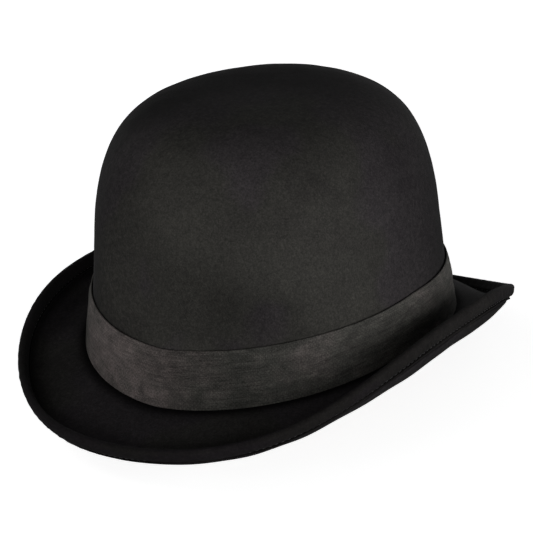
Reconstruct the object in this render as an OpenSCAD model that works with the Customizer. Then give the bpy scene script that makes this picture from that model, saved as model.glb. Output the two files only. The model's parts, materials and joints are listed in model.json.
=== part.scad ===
// Bowler hat: a hard domed crown and a curled, bound brim, both covered in brushed
// cloth, with a self-cloth band, a leather sweatband on a reed, a satin lining and
// a blank care label stitched along its foot.
// Frame: +Z up, the hat's front towards -Y, the wearer's left towards +X, origin at
// the centre of the head opening on the mean line where the crown meets the brim.
// Angles run round the hat in plan: 0 is the wearer's left, 90 the back, 270 the front.

/* [Crown] */
// Half length of the crown wall, front to back, over the cloth
crown_half_l = 100; // [97:0.5:103]
// Half width of the crown wall, side to side, over the cloth
crown_half_w = 88.2; // [86:0.2:90]
// Height of the dome above the line where it meets the brim
crown_h = 129; // [122:1:136]
// Power that squares the dome's shoulder: higher is squarer
shoulder_m = 4.37; // [3.8:0.01:4.8]
// Power that flattens the dome's top: higher is flatter
dome_n = 3.74; // [3.4:0.02:4.1]
// Extra half width where the wall flares out at its foot
foot_flare = 5.8; // [4.6:0.1:6.6]
// Height over which the flare at the foot dies away
flare_h = 58; // [54:1:64]
// How far the top of the dome leans to the back
lean = 2.15; // [0:0.05:4]

/* [Cloth and shell] */
// Thickness of the crown's cover cloth
cover_t = 1.2; // [1:0.05:1.3]
// Thickness of the stiffened shell under the cloth
shell_t = 1.6; // [1.4:0.05:1.7]
// Thickness of the satin lining
lining_t = 0.45; // [0.35:0.05:0.5]

/* [Brim] */
// Reach of the brim's edge from the band at the front, in plan
brim_front = 45.8; // [42:0.2:50]
// Reach of the brim's edge from the band at the back, in plan
brim_back = 38.8; // [35:0.2:42]
// Reach of the brim's edge from the band at each side, in plan
brim_side = 18.7; // [17.6:0.1:21]
// Height of the brim's edge at the front
edge_z_front = -9.2; // [-12:0.2:-6]
// Height of the brim's edge at the back
edge_z_back = -22.1; // [-24:0.1:-16]
// Height of the brim's edge at the sides, where it is swept up
edge_z_side = 24.6; // [22:0.2:26]
// Rise and fall of the crown-to-brim line from its mean
saddle = 7.1; // [6:0.1:8]
// Thickness of the stiff brim core
core_t = 1.5; // [1.3:0.05:1.6]
// Thickness of each brim cloth
brim_cloth_t = 0.6; // [0.5:0.05:0.65]
// Thickness of the edge binding
binding_t = 0.6; // [0.5:0.05:0.8]
// Width of the edge binding on each face
binding_w = 10; // [8:0.5:12]
// Radius of the round cord inside the bound edge
cord_r = 1.0; // [0.8:0.05:1.05]

/* [Band] */
// Height of the hatband
band_h = 29; // [27:0.5:30]
// How far the band stands off the crown's cloth
band_proud = 2.35; // [2.2:0.05:2.6]

/* [Inside] */
// Height of the sweatband's upper edge above the head opening
sweat_h = 34; // [32:0.5:36]
// Thickness of the sweatband's leather
sweat_t = 0.9; // [0.8:0.05:1]
// Radius of the plastic reed in the sweatband's lower edge
reed_r = 0.7; // [0.6:0.05:0.72]
// Width of the blank care label
label_w = 22; // [18:1:26]
// Length of the blank care label from its stitched edge
label_l = 30; // [24:1:32]

/* [Facets] */
// Number of flat facets round the hat
round_n = 48; // [40:4:52]

/* [Hidden] */
$fn = 32;
step = 360 / round_n;
angles = [for (i = [0:round_n - 1]) i * step];
gap = 0.05;                                    // air left between two cloths that touch
seat = 0.12;                                   // air under the crown's and band's lower edges
thread_r = 0.18;
stitch_lift = 0.4;                             // stitch centre off the brim's faces

// Depths are measured inwards from the outer face of the crown's cloth
wall_t = cover_t + gap + shell_t;
lining_depth = wall_t + 0.2;                   // lining's outer face behind the sweatband
lining_slack = 3;                              // how far the lining hangs off the dome
tip_depth = lining_depth + lining_slack;
sweat_outer = lining_depth + lining_t + 0.42;
sweat_inner = sweat_outer + sweat_t;
sweat_mid = sweat_outer + sweat_t / 2;

base_w = crown_half_w + band_proud;            // plan half width of the band's outer face
base_l = crown_half_l + band_proud;
stack_t = core_t + 2 * brim_cloth_t + 2 * gap; // brim without its binding
brim_tuck = band_proud + wall_t;               // brim's run under the band and the wall
binding_inner = stack_t / 2 + gap;             // binding's offsets from the brim's middle
binding_outer = binding_inner + binding_t;
nose_inset = 1.9;                              // centre of the bound edge, in from the tip
layer_inset = nose_inset + cord_r + 0.1;       // the brim's layers stop here
binding_mid = (binding_w + layer_inset) / 2;

// ---------- general helpers ----------
function unit(vector) = vector / norm(vector);
function flip(list) = [for (i = [len(list) - 1:-1:0]) list[i]];
function blend(from, to, share) = from * (1 - share) + to * share;
function ease(x) = let (part = min(1, max(0, x))) part * part * (3 - 2 * part);

// ---------- crown form ----------
side_weight = 1.346;  // pull of front and back against the sides
line_power = 0.715;   // how the crown-to-brim line passes from side to front
back_lift = 0.62;     // rise of that line at the back, and fall at the front
line_fade = 1.5;      // how fast the line's rise and fall dies away up the dome
flare_power = 1.6;
wall_taper = 0.02;    // share of both half sizes lost towards the top
width_gain = 0.058;   // share of the half width gained towards the top

// share of "side" against "front and back": 1 at the sides
function side(angle, power) = let (
    across = pow(cos(angle), 2), across_p = pow(across, power))
    across_p / (across_p + side_weight * pow(max(0, 1 - across), power));
// height of the crown-to-brim line
function base_z(angle) = saddle * (2 * side(angle, line_power) - 1) + back_lift * sin(angle);
function flare(height) = foot_flare * pow(max(0, 1 - max(0, height) / flare_h), flare_power);
function profile(level) =
    pow(max(0, 1 - pow(max(0, level), dome_n)), 1 / shoulder_m) * (1 - wall_taper * level);
// point on the crown at a depth; level is the share of the dome's height
function crown_pt(depth, level, angle) = let (
    size = profile(level), extra = flare(level * crown_h))
    [((crown_half_w - depth) * size * (1 + width_gain * level) + extra) * cos(angle),
     ((crown_half_l - depth) * size + extra) * sin(angle) + lean * level,
     level * (crown_h - depth) + base_z(angle) * pow(1 - level, line_fade)];
// the same, by height above the crown-to-brim line
function wall_pt(angle, depth, height) = crown_pt(depth, height / crown_h, angle);

// dome levels, spaced by degrees from 0 at the foot to 90 at the top
function level_at(degrees) = pow(sin(degrees), 2 / dome_n);
row_n = 12;
last_row_deg = 86.8;
seam_deg = 50.6;      // the lining's tip seam
dome_levels = concat([seat / crown_h],
                     [for (i = [1:row_n - 1]) level_at(90 * pow(i / row_n, 2))],
                     [level_at(last_row_deg)]);

// ---------- brim form ----------
reach_power = 0.91;   // how the reach passes from side to front
sweep_power = 1.24;   // how the heights and slopes pass from side to front
// section's slopes in degrees and curve arms in chords: [front and back, side]
foot_slope = [-9.9, -11.4];
edge_slope = [69.9, 89.1];
foot_arm = [0.585, 0.509];
edge_arm = [0.489, 0.682];
// the hand-curled brim is not quite even: what it gains or loses in reach and in height,
// every 30 degrees round from the wearer's left side
hand_reach = [1.43, 0.33, 0.36, -1.49, -0.56, -0.31, -0.78, 2.12, -1.41, -0.76, 0.73, 0.55];
hand_rise = [0.63, 1.58, 2.62, -2.96, -1.32, -1.32, -3.99, -2.37, -1.29, 0.18, 0.62, 0.32];
hand_focus = 22;      // how narrowly each entry acts

function by_hand(angle, table) =
    table * [for (i = [0:11]) pow((1 + cos(angle - 30 * i)) / 2, hand_focus)];
// outward plan normal of the band's oval
function outward(angle) = unit([cos(angle) / base_w, sin(angle) / base_l]);
// brim section as a cubic curve: four [reach, rise] control points
function section(angle) = let (
    reach_side = side(angle, reach_power),
    sweep = side(angle, sweep_power),
    front = (1 - sin(angle)) / 2,
    reach = blend(blend(brim_back, brim_front, front), brim_side, reach_side)
        + by_hand(angle, hand_reach),
    edge_z = blend(blend(edge_z_back, edge_z_front, front), edge_z_side, sweep)
        + by_hand(angle, hand_rise),
    tip = [reach, edge_z - base_z(angle)],
    chord = norm(tip),
    foot = blend(foot_slope[0], foot_slope[1], sweep),
    edge = blend(edge_slope[0], edge_slope[1], sweep),
    foot_l = blend(foot_arm[0], foot_arm[1], sweep) * chord,
    edge_l = blend(edge_arm[0], edge_arm[1], sweep) * chord)
    [[0, 0], foot_l * [cos(foot), sin(foot)], tip - edge_l * [cos(edge), sin(edge)], tip];
// point and direction on the section; the foot drops by half the brim's thickness
function curve(ctrl, share) = let (rest = 1 - share)
    pow(rest, 3) * ctrl[0] + 3 * share * pow(rest, 2) * ctrl[1]
    + 3 * share * share * rest * ctrl[2] + pow(share, 3) * ctrl[3]
    - [0, stack_t / 2 * pow(rest, 2)];
function curve_dir(ctrl, share) = let (rest = 1 - share)
    unit(3 * pow(rest, 2) * (ctrl[1] - ctrl[0]) + 6 * share * rest * (ctrl[2] - ctrl[1])
         + 3 * share * share * (ctrl[3] - ctrl[2]) + [0, stack_t * rest]);
// curve share that lies an inset in from the brim's edge
function share_at(angle, inset) = let (ctrl = section(angle))
    1 - inset / (3 * norm(ctrl[3] - ctrl[2]));
// brim point at a curve share: up along the section's normal, along its run
function brim_pt(angle, share, up, along = 0) = let (
    ctrl = section(angle),
    dir = curve_dir(ctrl, share),
    spot = curve(ctrl, share) + up * [-dir[1], dir[0]] + along * dir,
    normal = outward(angle))
    [(base_w + foot_flare) * cos(angle) + spot[0] * normal[0],
     (base_l + foot_flare) * sin(angle) + spot[0] * normal[1],
     base_z(angle) + spot[1]];
function inset_pt(angle, inset, up, along = 0) =
    brim_pt(angle, share_at(angle, inset), up, along);
// brim point on the flat run under the band and wall, inside the band's outer foot
function seat_pt(angle, inside, up) =
    [(base_w + foot_flare - inside) * cos(angle),
     (base_l + foot_flare - inside) * sin(angle),
     base_z(angle) - stack_t / 2 + up];

// lines from the head outwards: a brim layer's face, and the binding's face
function face_pts(angle, up) = concat(
    [seat_pt(angle, brim_tuck, up), seat_pt(angle, 0, up)],
    [for (k = [1:6]) brim_pt(angle, k / 6 * share_at(angle, binding_w), up)],
    [for (inset = [binding_mid, layer_inset]) inset_pt(angle, inset, up)]);
function edge_pts(angle, up) =
    [for (inset = [binding_w, binding_mid, layer_inset, nose_inset]) inset_pt(angle, inset, up)];
// points round the centre of the bound edge, by degrees from the section's normal
function nose_pts(angle, radius, turns) =
    [for (turn = turns) inset_pt(angle, nose_inset, radius * cos(turn), radius * sin(turn))];

// ---------- builders ----------
// closed ring: one closed section per angle. back lists [first, past last] edges of
// a section that run towards the head, so that cloths that touch split into the same facets
module ring(sections, back = []) {
    count = len(sections);
    size = len(sections[0]);
    polyhedron(
        points = [for (points = sections) for (point = points) point],
        faces = [for (i = [0:count - 1]) for (j = [0:size - 1])
            let (here = i * size,
                 next = (i + 1) % count * size,
                 k = (j + 1) % size,
                 is_back = len([for (run = back) if (j >= run[0] && j < run[1]) 1]) > 0)
            each (is_back
                ? [[here + j, here + k, next + j], [here + k, next + k, next + j]]
                : [[here + j, here + k, next + k], [here + j, next + k, next + j]])],
        convexity = 8);
}

// domed cap between two depths, with rows at the levels from the open edge up
function dome_pts(depth, levels) = concat(
    [for (level = levels) for (angle = angles) crown_pt(depth, level, angle)],
    [crown_pt(depth, 1, 0)]);
module dome(outer_depth, inner_depth, levels) {
    top = len(levels) * round_n;               // index of the outer skin's top point
    last = top - round_n;
    inner = top + 1;                           // index of the inner skin's first point
    skin = concat(
        [for (j = [0:len(levels) - 2]) for (i = [0:round_n - 1])
            let (here = j * round_n + i, next = j * round_n + (i + 1) % round_n)
            each [[here, here + round_n, next + round_n], [here, next + round_n, next]]],
        [for (i = [0:round_n - 1]) [last + i, top, last + (i + 1) % round_n]]);
    polyhedron(
        points = concat(dome_pts(outer_depth, levels), dome_pts(inner_depth, levels)),
        faces = concat(
            skin,
            [for (face = skin) [for (index = flip(face)) inner + index]],
            [for (i = [0:round_n - 1]) let (k = (i + 1) % round_n)
                each [[i, k, inner + k], [i, inner + k, inner + i]]]),
        convexity = 8);
}

// straight thread between two points
module thread(start, end) {
    run = end - start;
    length = norm(run);
    translate(start) rotate([0, acos(run[2] / length), atan2(run[1], run[0])])
        cylinder(r = thread_r, h = length, $fn = 16);
}
// evenly spaced stitches along a chord; first and length are shares of the chord
module stitches(start, end, count, first, length, lift = [0, 0, 0]) {
    run = end - start;
    for (i = [0:count - 1]) {
        from = first + i / count;
        thread(start + run * from + lift, start + run * (from + length) + lift);
    }
}

// ---------- crown ----------
module crown_cover() {
    color("#2f2e2d") dome(0, cover_t, dome_levels);
}
module crown_stiffener() {
    color("#5b5650") dome(cover_t + gap, wall_t, dome_levels);
}

// ---------- brim ----------
module brim_layer(bottom, top) {
    ring([for (angle = angles) concat(face_pts(angle, bottom), flip(face_pts(angle, top)))],
         back = [[10, 20]]);
}
module brim_top_cloth() {
    color("#232221") brim_layer(core_t / 2 + gap, stack_t / 2);
}
module brim_core() {
    color("#6a645c") brim_layer(-core_t / 2, core_t / 2);
}
module brim_under_cloth() {
    color("#1f1e1d") brim_layer(-stack_t / 2, -core_t / 2 - gap);
}
module brim_edge_cord() {
    color("#3a3a3a")
        ring([for (angle = angles) nose_pts(angle, cord_r, [180, 120, 60, 0, 300, 240])]);
}
module brim_binding() {
    color("#292827") ring([for (angle = angles) concat(
        edge_pts(angle, -binding_outer),
        nose_pts(angle, binding_outer, [120, 60]),
        flip(edge_pts(angle, binding_outer)),
        edge_pts(angle, binding_inner),
        nose_pts(angle, binding_inner, [60, 120]),
        flip(edge_pts(angle, -binding_inner)))],
        back = [[5, 10], [15, 20]]);
}
// one row of stitches near the binding's inner edge, on the upper face
module binding_stitching() {
    inset = blend(binding_w, layer_inset, 0.2);
    color("#1c1b1a")
    for (angle = angles) {
        start = inset_pt(angle, inset, binding_outer);
        end = inset_pt(angle + step, inset, binding_outer);
        normal = unit(start - inset_pt(angle, inset, 0) + end - inset_pt(angle + step, inset, 0));
        stitches(start, end, count = 4, first = 0.04, length = 0.17, lift = stitch_lift * normal);
    }
}

// ---------- hatband ----------
band_gap = 0.2;                 // air between the band and the crown's cloth
band_back = band_proud - 1.1;   // back of the band between its two hems
// band's section: [offset out from the crown's cloth, height]
band_section = [
    [band_gap, seat], [band_proud - 0.35, seat], [band_proud, seat + 0.4],
    [band_proud, band_h / 2], [band_proud, band_h - 0.5], [band_proud - 0.45, band_h],
    [0.45, band_h], [band_gap, band_h - 0.4], [band_gap, band_h - 6],
    [band_back, band_h - 6.6], [band_back, band_h / 2], [band_back, 7], [band_gap, 6.4]];
module hatband() {
    color("#3a3735") ring([for (angle = angles)
        [for (point = band_section) wall_pt(angle, -point[0], point[1])]]);
}
// hand tacks that close the band's lapped end, at the back on the wearer's right
module hatband_tacks() {
    angle = angles[floor(round_n * 0.31)];
    depth = -(band_proud + 0.5);
    tack_l = 2.4;
    color("#1c1b1a")
    for (height = [4, 9, 18, 24])
        thread(wall_pt(angle, depth, height), wall_pt(angle, depth, height + tack_l));
}

// ---------- headsize seam ----------
// stitches on the under side of the brim, round the head opening
module headsize_stitching() {
    inside = brim_tuck - 2.2;
    up = -stack_t / 2 - stitch_lift;
    color("#1c1b1a")
    for (angle = angles)
        stitches(seat_pt(angle, inside, up), seat_pt(angle + step, inside, up),
                 count = 2, first = 0.06, length = 0.38);
}

// ---------- sweatband ----------
reed_h = -2.6;                  // height of the reed against the brim line
tape_inner = (max(reed_r, sweat_t / 2) + 0.12) / cos(22.5);   // tape's radii round the reed
tape_outer = tape_inner + 0.35;
tape_head_h = 1.4;              // tape's upper edge on the sweatband's inner face
tape_wall_h = 3;                // and on its outer face

// point round the reed's centre; turn 0 faces the crown wall, 90 up
function reed_pt(angle, radius, turn) =
    wall_pt(angle, sweat_mid - radius * cos(turn), reed_h + radius * sin(turn));
module sweatband() {
    heights = [reed_h + reed_r + 0.15, 8, 20, sweat_h];
    color("#4a2c1c") ring([for (angle = angles) concat(
        [for (height = flip(heights)) wall_pt(angle, sweat_inner, height)],
        [for (height = heights) wall_pt(angle, sweat_outer, height)])]);
}
module sweatband_reed() {
    color("#e6e2d8")
        ring([for (angle = angles) [for (turn = [0:60:300]) reed_pt(angle, reed_r, turn)]]);
}
module reed_tape() {
    turns = [180, 225, 270, 315, 360];
    color("#1b1a19") ring([for (angle = angles) concat(
        [wall_pt(angle, sweat_mid + tape_outer, tape_head_h)],
        [for (turn = turns) reed_pt(angle, tape_outer, turn)],
        [wall_pt(angle, sweat_mid - tape_outer, tape_wall_h),
         wall_pt(angle, sweat_mid - tape_inner, tape_wall_h)],
        [for (turn = flip(turns)) reed_pt(angle, tape_inner, turn)],
        [wall_pt(angle, sweat_mid + tape_inner, tape_head_h)])]);
}
// stitches along the tape's upper edge, on the sweatband's inner face;
// the label's stitched edge takes the place of the row behind it
module sweatband_stitching() {
    depth = sweat_mid + tape_outer + 0.3;
    height = 0.4;
    color("#cbbfa8")
    for (angle = angles)
        if (abs(angle + step / 2 - label_at) > 11)
            stitches(wall_pt(angle, depth, height), wall_pt(angle + step, depth, height),
                     count = 4, first = 0.05, length = 0.16);
}

// half bow loop, narrowed towards the knot; way is 1 to the wearer's left, -1 to the right
function loop_outline(way, middle, half_l, half_h, taper, degrees) =
    [for (turn = [0:degrees:360])
        [way * (middle + half_l * cos(turn)),
         half_h * sin(turn) * (taper + (1 - taper) * cos(turn))]];
// flat ribbon bow at the back of the sweatband, over the leather's join
module sweatband_bow() {
    height = 15;
    bow_y = wall_pt(90, sweat_inner, height)[1] - 0.6;
    side_x = 1.9;               // start of each loop and tail
    color("#2a2522") translate([0, bow_y, height + base_z(90)]) rotate([8, 0, 0]) {
        for (way = [-1, 1]) {
            // loop
            translate([way * side_x, 0, 0]) rotate([0, 0, -way * 8]) rotate([90, 0, 0])
                linear_extrude(height = 1.2) difference() {
                    polygon(loop_outline(way, middle = 7, half_l = 6.6, half_h = 4.6,
                                         taper = 0.72, degrees = 15));
                    polygon(loop_outline(way, middle = 8, half_l = 3.6, half_h = 2.2,
                                         taper = 0.7, degrees = 20));
                }
            // tail
            translate([way * side_x, 0, -2]) rotate([0, 0, -way * 6]) rotate([90, 0, 0])
                linear_extrude(height = 0.7)
                    polygon([[0, 0], [way * 9.5, -7.2], [way * 10.2, -4.4],
                             [way * 12.4, -3.6], [way * 2, 1.8]]);
        }
        // knot
        rotate([90, 0, 0]) linear_extrude(height = 2.0)
            polygon([for (turn = [0:20:360]) [2.6 * cos(turn), 3.2 * sin(turn)]]);
    }
}

// ---------- lining ----------
// the lining leaves the wall between these shares of the dome's height
slack_from = 0.28;
slack_over = 0.3;
function lining_at(level) = lining_depth + lining_slack * ease((level - slack_from) / slack_over);
module lining_side() {
    levels = concat([6 / crown_h, 0.11], [for (i = [2:8]) dome_levels[i]],
                    [level_at(seam_deg - 1)]);
    color("#161517") ring([for (angle = angles) concat(
        [for (level = flip(levels)) crown_pt(lining_at(level) + lining_t, level, angle)],
        [for (level = levels) crown_pt(lining_at(level), level, angle)])]);
}
module lining_tip() {
    levels = concat([level_at(seam_deg + 1)], [for (i = [10:row_n]) dome_levels[i]]);
    color("#18171a") dome(tip_depth, tip_depth + lining_t, levels);
}
module lining_piping() {
    piping_r = 0.7;
    color("#121113") ring([for (angle = angles)
        let (centre = crown_pt(tip_depth + lining_t + 1.0, level_at(seam_deg), angle),
             normal = unit([centre[0], centre[1], 0]))
        [for (turn = [0:60:300]) centre + piping_r * (cos(turn) * normal + [0, 0, sin(turn)])]]);
}
// blank oval patch under the middle of the tip
module lining_patch() {
    half_w = 24;
    half_l = 30;
    color("#8a8478") translate([0, lean, crown_h - tip_depth - lining_t - 2.6])
        linear_extrude(height = 0.5)
            polygon([for (angle = angles) [half_w * cos(angle), half_l * sin(angle)]]);
}

// ---------- care label ----------
label_at = 52;                  // the label's place round the opening
label_t = 0.3;
label_foot = wall_pt(label_at, sweat_inner, 3.6);
label_top = wall_pt(label_at, sweat_inner, 32);
label_n = unit([cos(label_at) / crown_half_w, sin(label_at) / crown_half_l, 0]);
label_turn = atan2(label_n[1], label_n[0]);
label_lean = atan2(norm([label_foot[0] - label_top[0], label_foot[1] - label_top[1]]),
                   label_top[2] - label_foot[2]) + 1;
// the flat label stands off by the rise of an arc of this radius over its width
label_arc_r = 86;
label_off = 1.5 + label_w * label_w / 8 / label_arc_r;
module on_label() {
    translate(label_foot - label_off * label_n) rotate([0, 0, label_turn])
        rotate([0, -label_lean, 0]) children();
}
// flat label with its two upper corners cut off
module care_label() {
    cut = 2.8;
    color("#e9e6df") on_label() difference() {
        translate([-label_t / 2, -label_w / 2, 0]) cube([label_t, label_w, label_l]);
        for (way = [-1, 1])
            translate([-1, way * label_w / 2, label_l]) rotate([way * 45, 0, 0])
                translate([0, -cut / 2, -cut / 2]) cube([2, cut, cut]);
    }
}
// stitches along the label's foot
module care_label_stitches() {
    count = 6;
    length = 2;
    margin = 1.6;
    pitch = (label_w - 2 * margin - length) / (count - 1);
    color("#cbbfa8") on_label() for (i = [0:count - 1])
        translate([0, -label_w / 2 + margin + i * pitch, -0.5])
            rotate([-90, 0, 0]) cylinder(r = thread_r, h = length, $fn = 16);
}

crown_cover();
crown_stiffener();
brim_top_cloth();
brim_core();
brim_under_cloth();
brim_edge_cord();
brim_binding();
binding_stitching();
hatband();
hatband_tacks();
headsize_stitching();
sweatband();
sweatband_reed();
reed_tape();
sweatband_stitching();
sweatband_bow();
lining_side();
lining_tip();
lining_piping();
lining_patch();
care_label();
care_label_stitches();
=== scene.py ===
import bpy
import json
import math
import numpy as np
from mathutils import Matrix, Vector

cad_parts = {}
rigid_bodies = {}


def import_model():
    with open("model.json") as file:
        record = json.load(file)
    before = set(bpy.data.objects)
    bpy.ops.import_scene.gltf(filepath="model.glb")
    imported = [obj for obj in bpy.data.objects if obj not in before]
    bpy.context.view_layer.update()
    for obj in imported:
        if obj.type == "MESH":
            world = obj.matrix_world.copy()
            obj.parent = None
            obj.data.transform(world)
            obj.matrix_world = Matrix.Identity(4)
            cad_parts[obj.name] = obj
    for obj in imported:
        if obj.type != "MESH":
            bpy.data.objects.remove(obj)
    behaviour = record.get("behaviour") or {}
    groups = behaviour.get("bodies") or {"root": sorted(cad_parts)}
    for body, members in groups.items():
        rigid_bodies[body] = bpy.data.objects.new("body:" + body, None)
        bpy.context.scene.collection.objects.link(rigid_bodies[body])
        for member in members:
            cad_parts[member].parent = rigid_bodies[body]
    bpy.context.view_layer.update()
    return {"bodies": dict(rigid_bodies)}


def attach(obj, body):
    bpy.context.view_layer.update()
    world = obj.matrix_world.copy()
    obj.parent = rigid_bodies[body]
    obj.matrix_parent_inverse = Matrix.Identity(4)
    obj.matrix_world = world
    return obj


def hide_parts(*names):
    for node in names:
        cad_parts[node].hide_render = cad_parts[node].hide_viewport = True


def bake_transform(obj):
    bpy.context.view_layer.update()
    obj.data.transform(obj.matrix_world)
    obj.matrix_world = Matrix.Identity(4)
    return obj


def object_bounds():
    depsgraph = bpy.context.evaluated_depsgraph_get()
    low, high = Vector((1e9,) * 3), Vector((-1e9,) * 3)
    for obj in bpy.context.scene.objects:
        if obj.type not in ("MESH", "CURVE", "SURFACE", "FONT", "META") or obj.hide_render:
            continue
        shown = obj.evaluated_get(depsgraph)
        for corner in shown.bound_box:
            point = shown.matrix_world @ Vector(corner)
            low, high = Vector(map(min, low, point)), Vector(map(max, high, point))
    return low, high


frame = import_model()
MM = 0.001
TURN = 2 * math.pi
UP = np.array([0, 0, 1.0])
HAS_LABEL = "label_flap" in frame["bodies"]
HAT = "hat" if "hat" in frame["bodies"] else "root"

# ---------------------------------------------------------------- driving dimensions
# crown: half width, half length, height
HALF_W, HALF_L, CROWN_H = 88.2, 100.0, 129.0
# roundness of the dome's profile
WALL_POWER, RISE_POWER = 4.37, 3.74
# the crown's foot spreads by FLARE below FLARE_H; its top leans back by LEAN
FLARE, FLARE_H, LEAN = 5.8, 58.0, 2.15
# how far the hat's base line swings down at the ends and up at the sides
SADDLE = 7.1

# thickness of the layers and the gap between them
COVER_T, SHELL_T, LINING_T, GAP = 1.2, 1.6, 0.45, 0.05
CORE_T, CLOTH_T, BIND_T, SWEAT_T = 1.5, 0.6, 0.6, 0.9
SEAT = 0.12                                     # height of the crown's foot above the brim
STACK = CORE_T + 2 * CLOTH_T + 2 * GAP          # whole thickness of the brim
SHELL_IN = COVER_T + GAP + SHELL_T              # inner face of the felt shell

# brim: reach and height of its edge at the front, back and sides
REACH_FRONT, REACH_BACK, REACH_SIDE = 45.8, 38.8, 18.7
EDGE_Z_FRONT, EDGE_Z_BACK, EDGE_Z_SIDE = -9.2, -22.1, 24.6
BIND_W, CORD_R = 10.0, 1.0
NOSE_RUN = 1.9                                  # the cord's centre, in from the tip
SHEET_END = NOSE_RUN + CORD_R + 0.1             # the brim's sheets stop here
BIND_IN = STACK / 2 + GAP                       # the binding's lining and outer offsets
BIND_OUT = BIND_IN + BIND_T

# hatband
BAND_H, PROUD = 29.0, 2.35
BAND_HALF_W, BAND_HALF_L = HALF_W + PROUD, HALF_L + PROUD
BRIM_IN = PROUD + SHELL_IN
LAP = math.radians(111)                         # where the band's end laps over

# lining and sweatband, as insets from the crown's outer face
LINING_IN = SHELL_IN + 0.2
SLACK = 3.0
LINING_TOP = LINING_IN + SLACK
SEAM_AT = 50.6                                  # profile angle of the lining's seam, degrees
SWEAT_IN = LINING_IN + LINING_T + 0.42
SWEAT_FACE = SWEAT_IN + SWEAT_T
SWEAT_MID = SWEAT_IN + SWEAT_T / 2
SWEAT_H, REED_R, REED_H = 34.0, 0.7, -2.6
LABEL_AT = math.radians(52)


# ---------------------------------------------------------------- form rules
def ease(x):
    x = np.clip(x, 0, 1)
    return x * x * (3 - 2 * x)


def blend(start, end, share):
    return start * (1 - share) + end * share


def unit(vectors):
    return vectors / np.linalg.norm(vectors, axis=-1, keepdims=True)


def arc_from(angle, centre, radius=100.0):
    """Signed distance round the hat from the centre angle."""
    return np.angle(np.exp(1j * (angle - centre))) * radius


def side(angle, power):
    """1 at the hat's sides, 0 at its front and back."""
    cos2 = np.clip(np.cos(angle) ** 2, 0, 1)
    return cos2 ** power / (cos2 ** power + 1.346 * (1 - cos2) ** power)


def base_z(angle):
    return SADDLE * (2 * side(angle, 0.715) - 1) + 0.62 * np.sin(angle)


def wall(z):
    """The dome's radius share at height share z."""
    return np.clip(1 - np.clip(z, 0, 1) ** RISE_POWER, 0, 1) ** (1 / WALL_POWER) * (1 - 0.02 * z)


def crown_at(inset, radius, z, angle):
    """A point inset from the cover's outer face; radius and z are shares of plan and height."""
    spread = FLARE * np.clip(1 - np.maximum(0, z * CROWN_H) / FLARE_H, 0, None) ** 1.6
    x = ((HALF_W - inset) * radius * (1 + 0.058 * z) + spread) * np.cos(angle)
    y = ((HALF_L - inset) * radius + spread) * np.sin(angle) + LEAN * z
    height = z * (CROWN_H - inset) + base_z(angle) * np.clip(1 - z, 0, None) ** 1.5
    return np.stack(np.broadcast_arrays(x, y, height), -1)


def dome_at(inset, z, angle):
    return crown_at(inset, wall(z), z, angle)


def wall_at(inset, height, angle):
    """Like dome_at, with the height in millimetres."""
    return dome_at(inset, height / CROWN_H, angle)


def profile_z(degrees):
    return math.sin(math.radians(degrees)) ** (2 / RISE_POWER)


def dome_rows(low, count):
    """Radius and height shares from height share low to the pole, evenly spaced on the profile.

    The pole itself is left out."""
    mean_radius = 94
    z = np.linspace(0, 0.93, 1500)
    radius = wall(z)
    # near the pole the height is solved from the radius
    top_radius = np.linspace(radius[-1], 0, 1500)[1:]
    top_z = np.full_like(top_radius, 0.95)
    for _ in range(30):
        inner = (top_radius / (1 - 0.02 * top_z)) ** WALL_POWER
        top_z = np.clip(1 - inner, 0, 1) ** (1 / RISE_POWER)
    radius, z = np.r_[radius, top_radius], np.r_[z, top_z]
    run = np.r_[0, np.cumsum(np.hypot(np.diff(radius) * mean_radius, np.diff(z) * CROWN_H))]
    stops = np.linspace(np.interp(low, z, run), run[-1], count)[:-1]
    return np.interp(stops, run, radius), np.interp(stops, run, z)


# The brim is curled by hand: extra reach and rise every 30 degrees, from the wearer's left
# round by the back.
HAND_REACH = (1.43, 0.33, 0.36, -1.49, -0.56, -0.31, -0.78, 2.12, -1.41, -0.76, 0.73, 0.55)
HAND_RISE = (0.63, 1.58, 2.62, -2.96, -1.32, -1.32, -3.99, -2.37, -1.29, 0.18, 0.62, 0.32)


def by_hand(angle, gains):
    return sum(gain * ((1 + np.cos(angle - math.radians(30 * i))) / 2) ** 22
               for i, gain in enumerate(gains))


def brim_section(angle):
    """The Bezier section's two handles and tip, from its root, as (outwards, upwards)."""
    reach_side, edge_side, front = side(angle, 0.91), side(angle, 1.24), (1 - np.sin(angle)) / 2
    reach = blend(REACH_FRONT * front + REACH_BACK * (1 - front), REACH_SIDE, reach_side)
    reach = reach + by_hand(angle, HAND_REACH)
    edge_z = blend(EDGE_Z_FRONT * front + EDGE_Z_BACK * (1 - front), EDGE_Z_SIDE, edge_side)
    rise = edge_z + by_hand(angle, HAND_RISE) - base_z(angle)
    chord = np.hypot(reach, rise)
    root_slope = np.radians(blend(-9.9, -11.4, edge_side))
    tip_slope = np.radians(blend(69.9, 89.1, edge_side))
    root_len = blend(0.585, 0.509, edge_side) * chord
    tip_len = blend(0.489, 0.682, edge_side) * chord
    root_handle = np.stack([root_len * np.cos(root_slope), root_len * np.sin(root_slope)], -1)
    tip = np.stack([reach, rise], -1)
    tip_handle = tip - np.stack([tip_len * np.cos(tip_slope), tip_len * np.sin(tip_slope)], -1)
    return root_handle, tip_handle, tip


def tip_speed(angle):
    """Millimetres per unit share of the section, at its tip."""
    _, tip_handle, tip = brim_section(angle)
    return 3 * np.linalg.norm(tip - tip_handle, axis=-1)


def share_at(angle, run):
    return 1 - run / tip_speed(angle)


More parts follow.
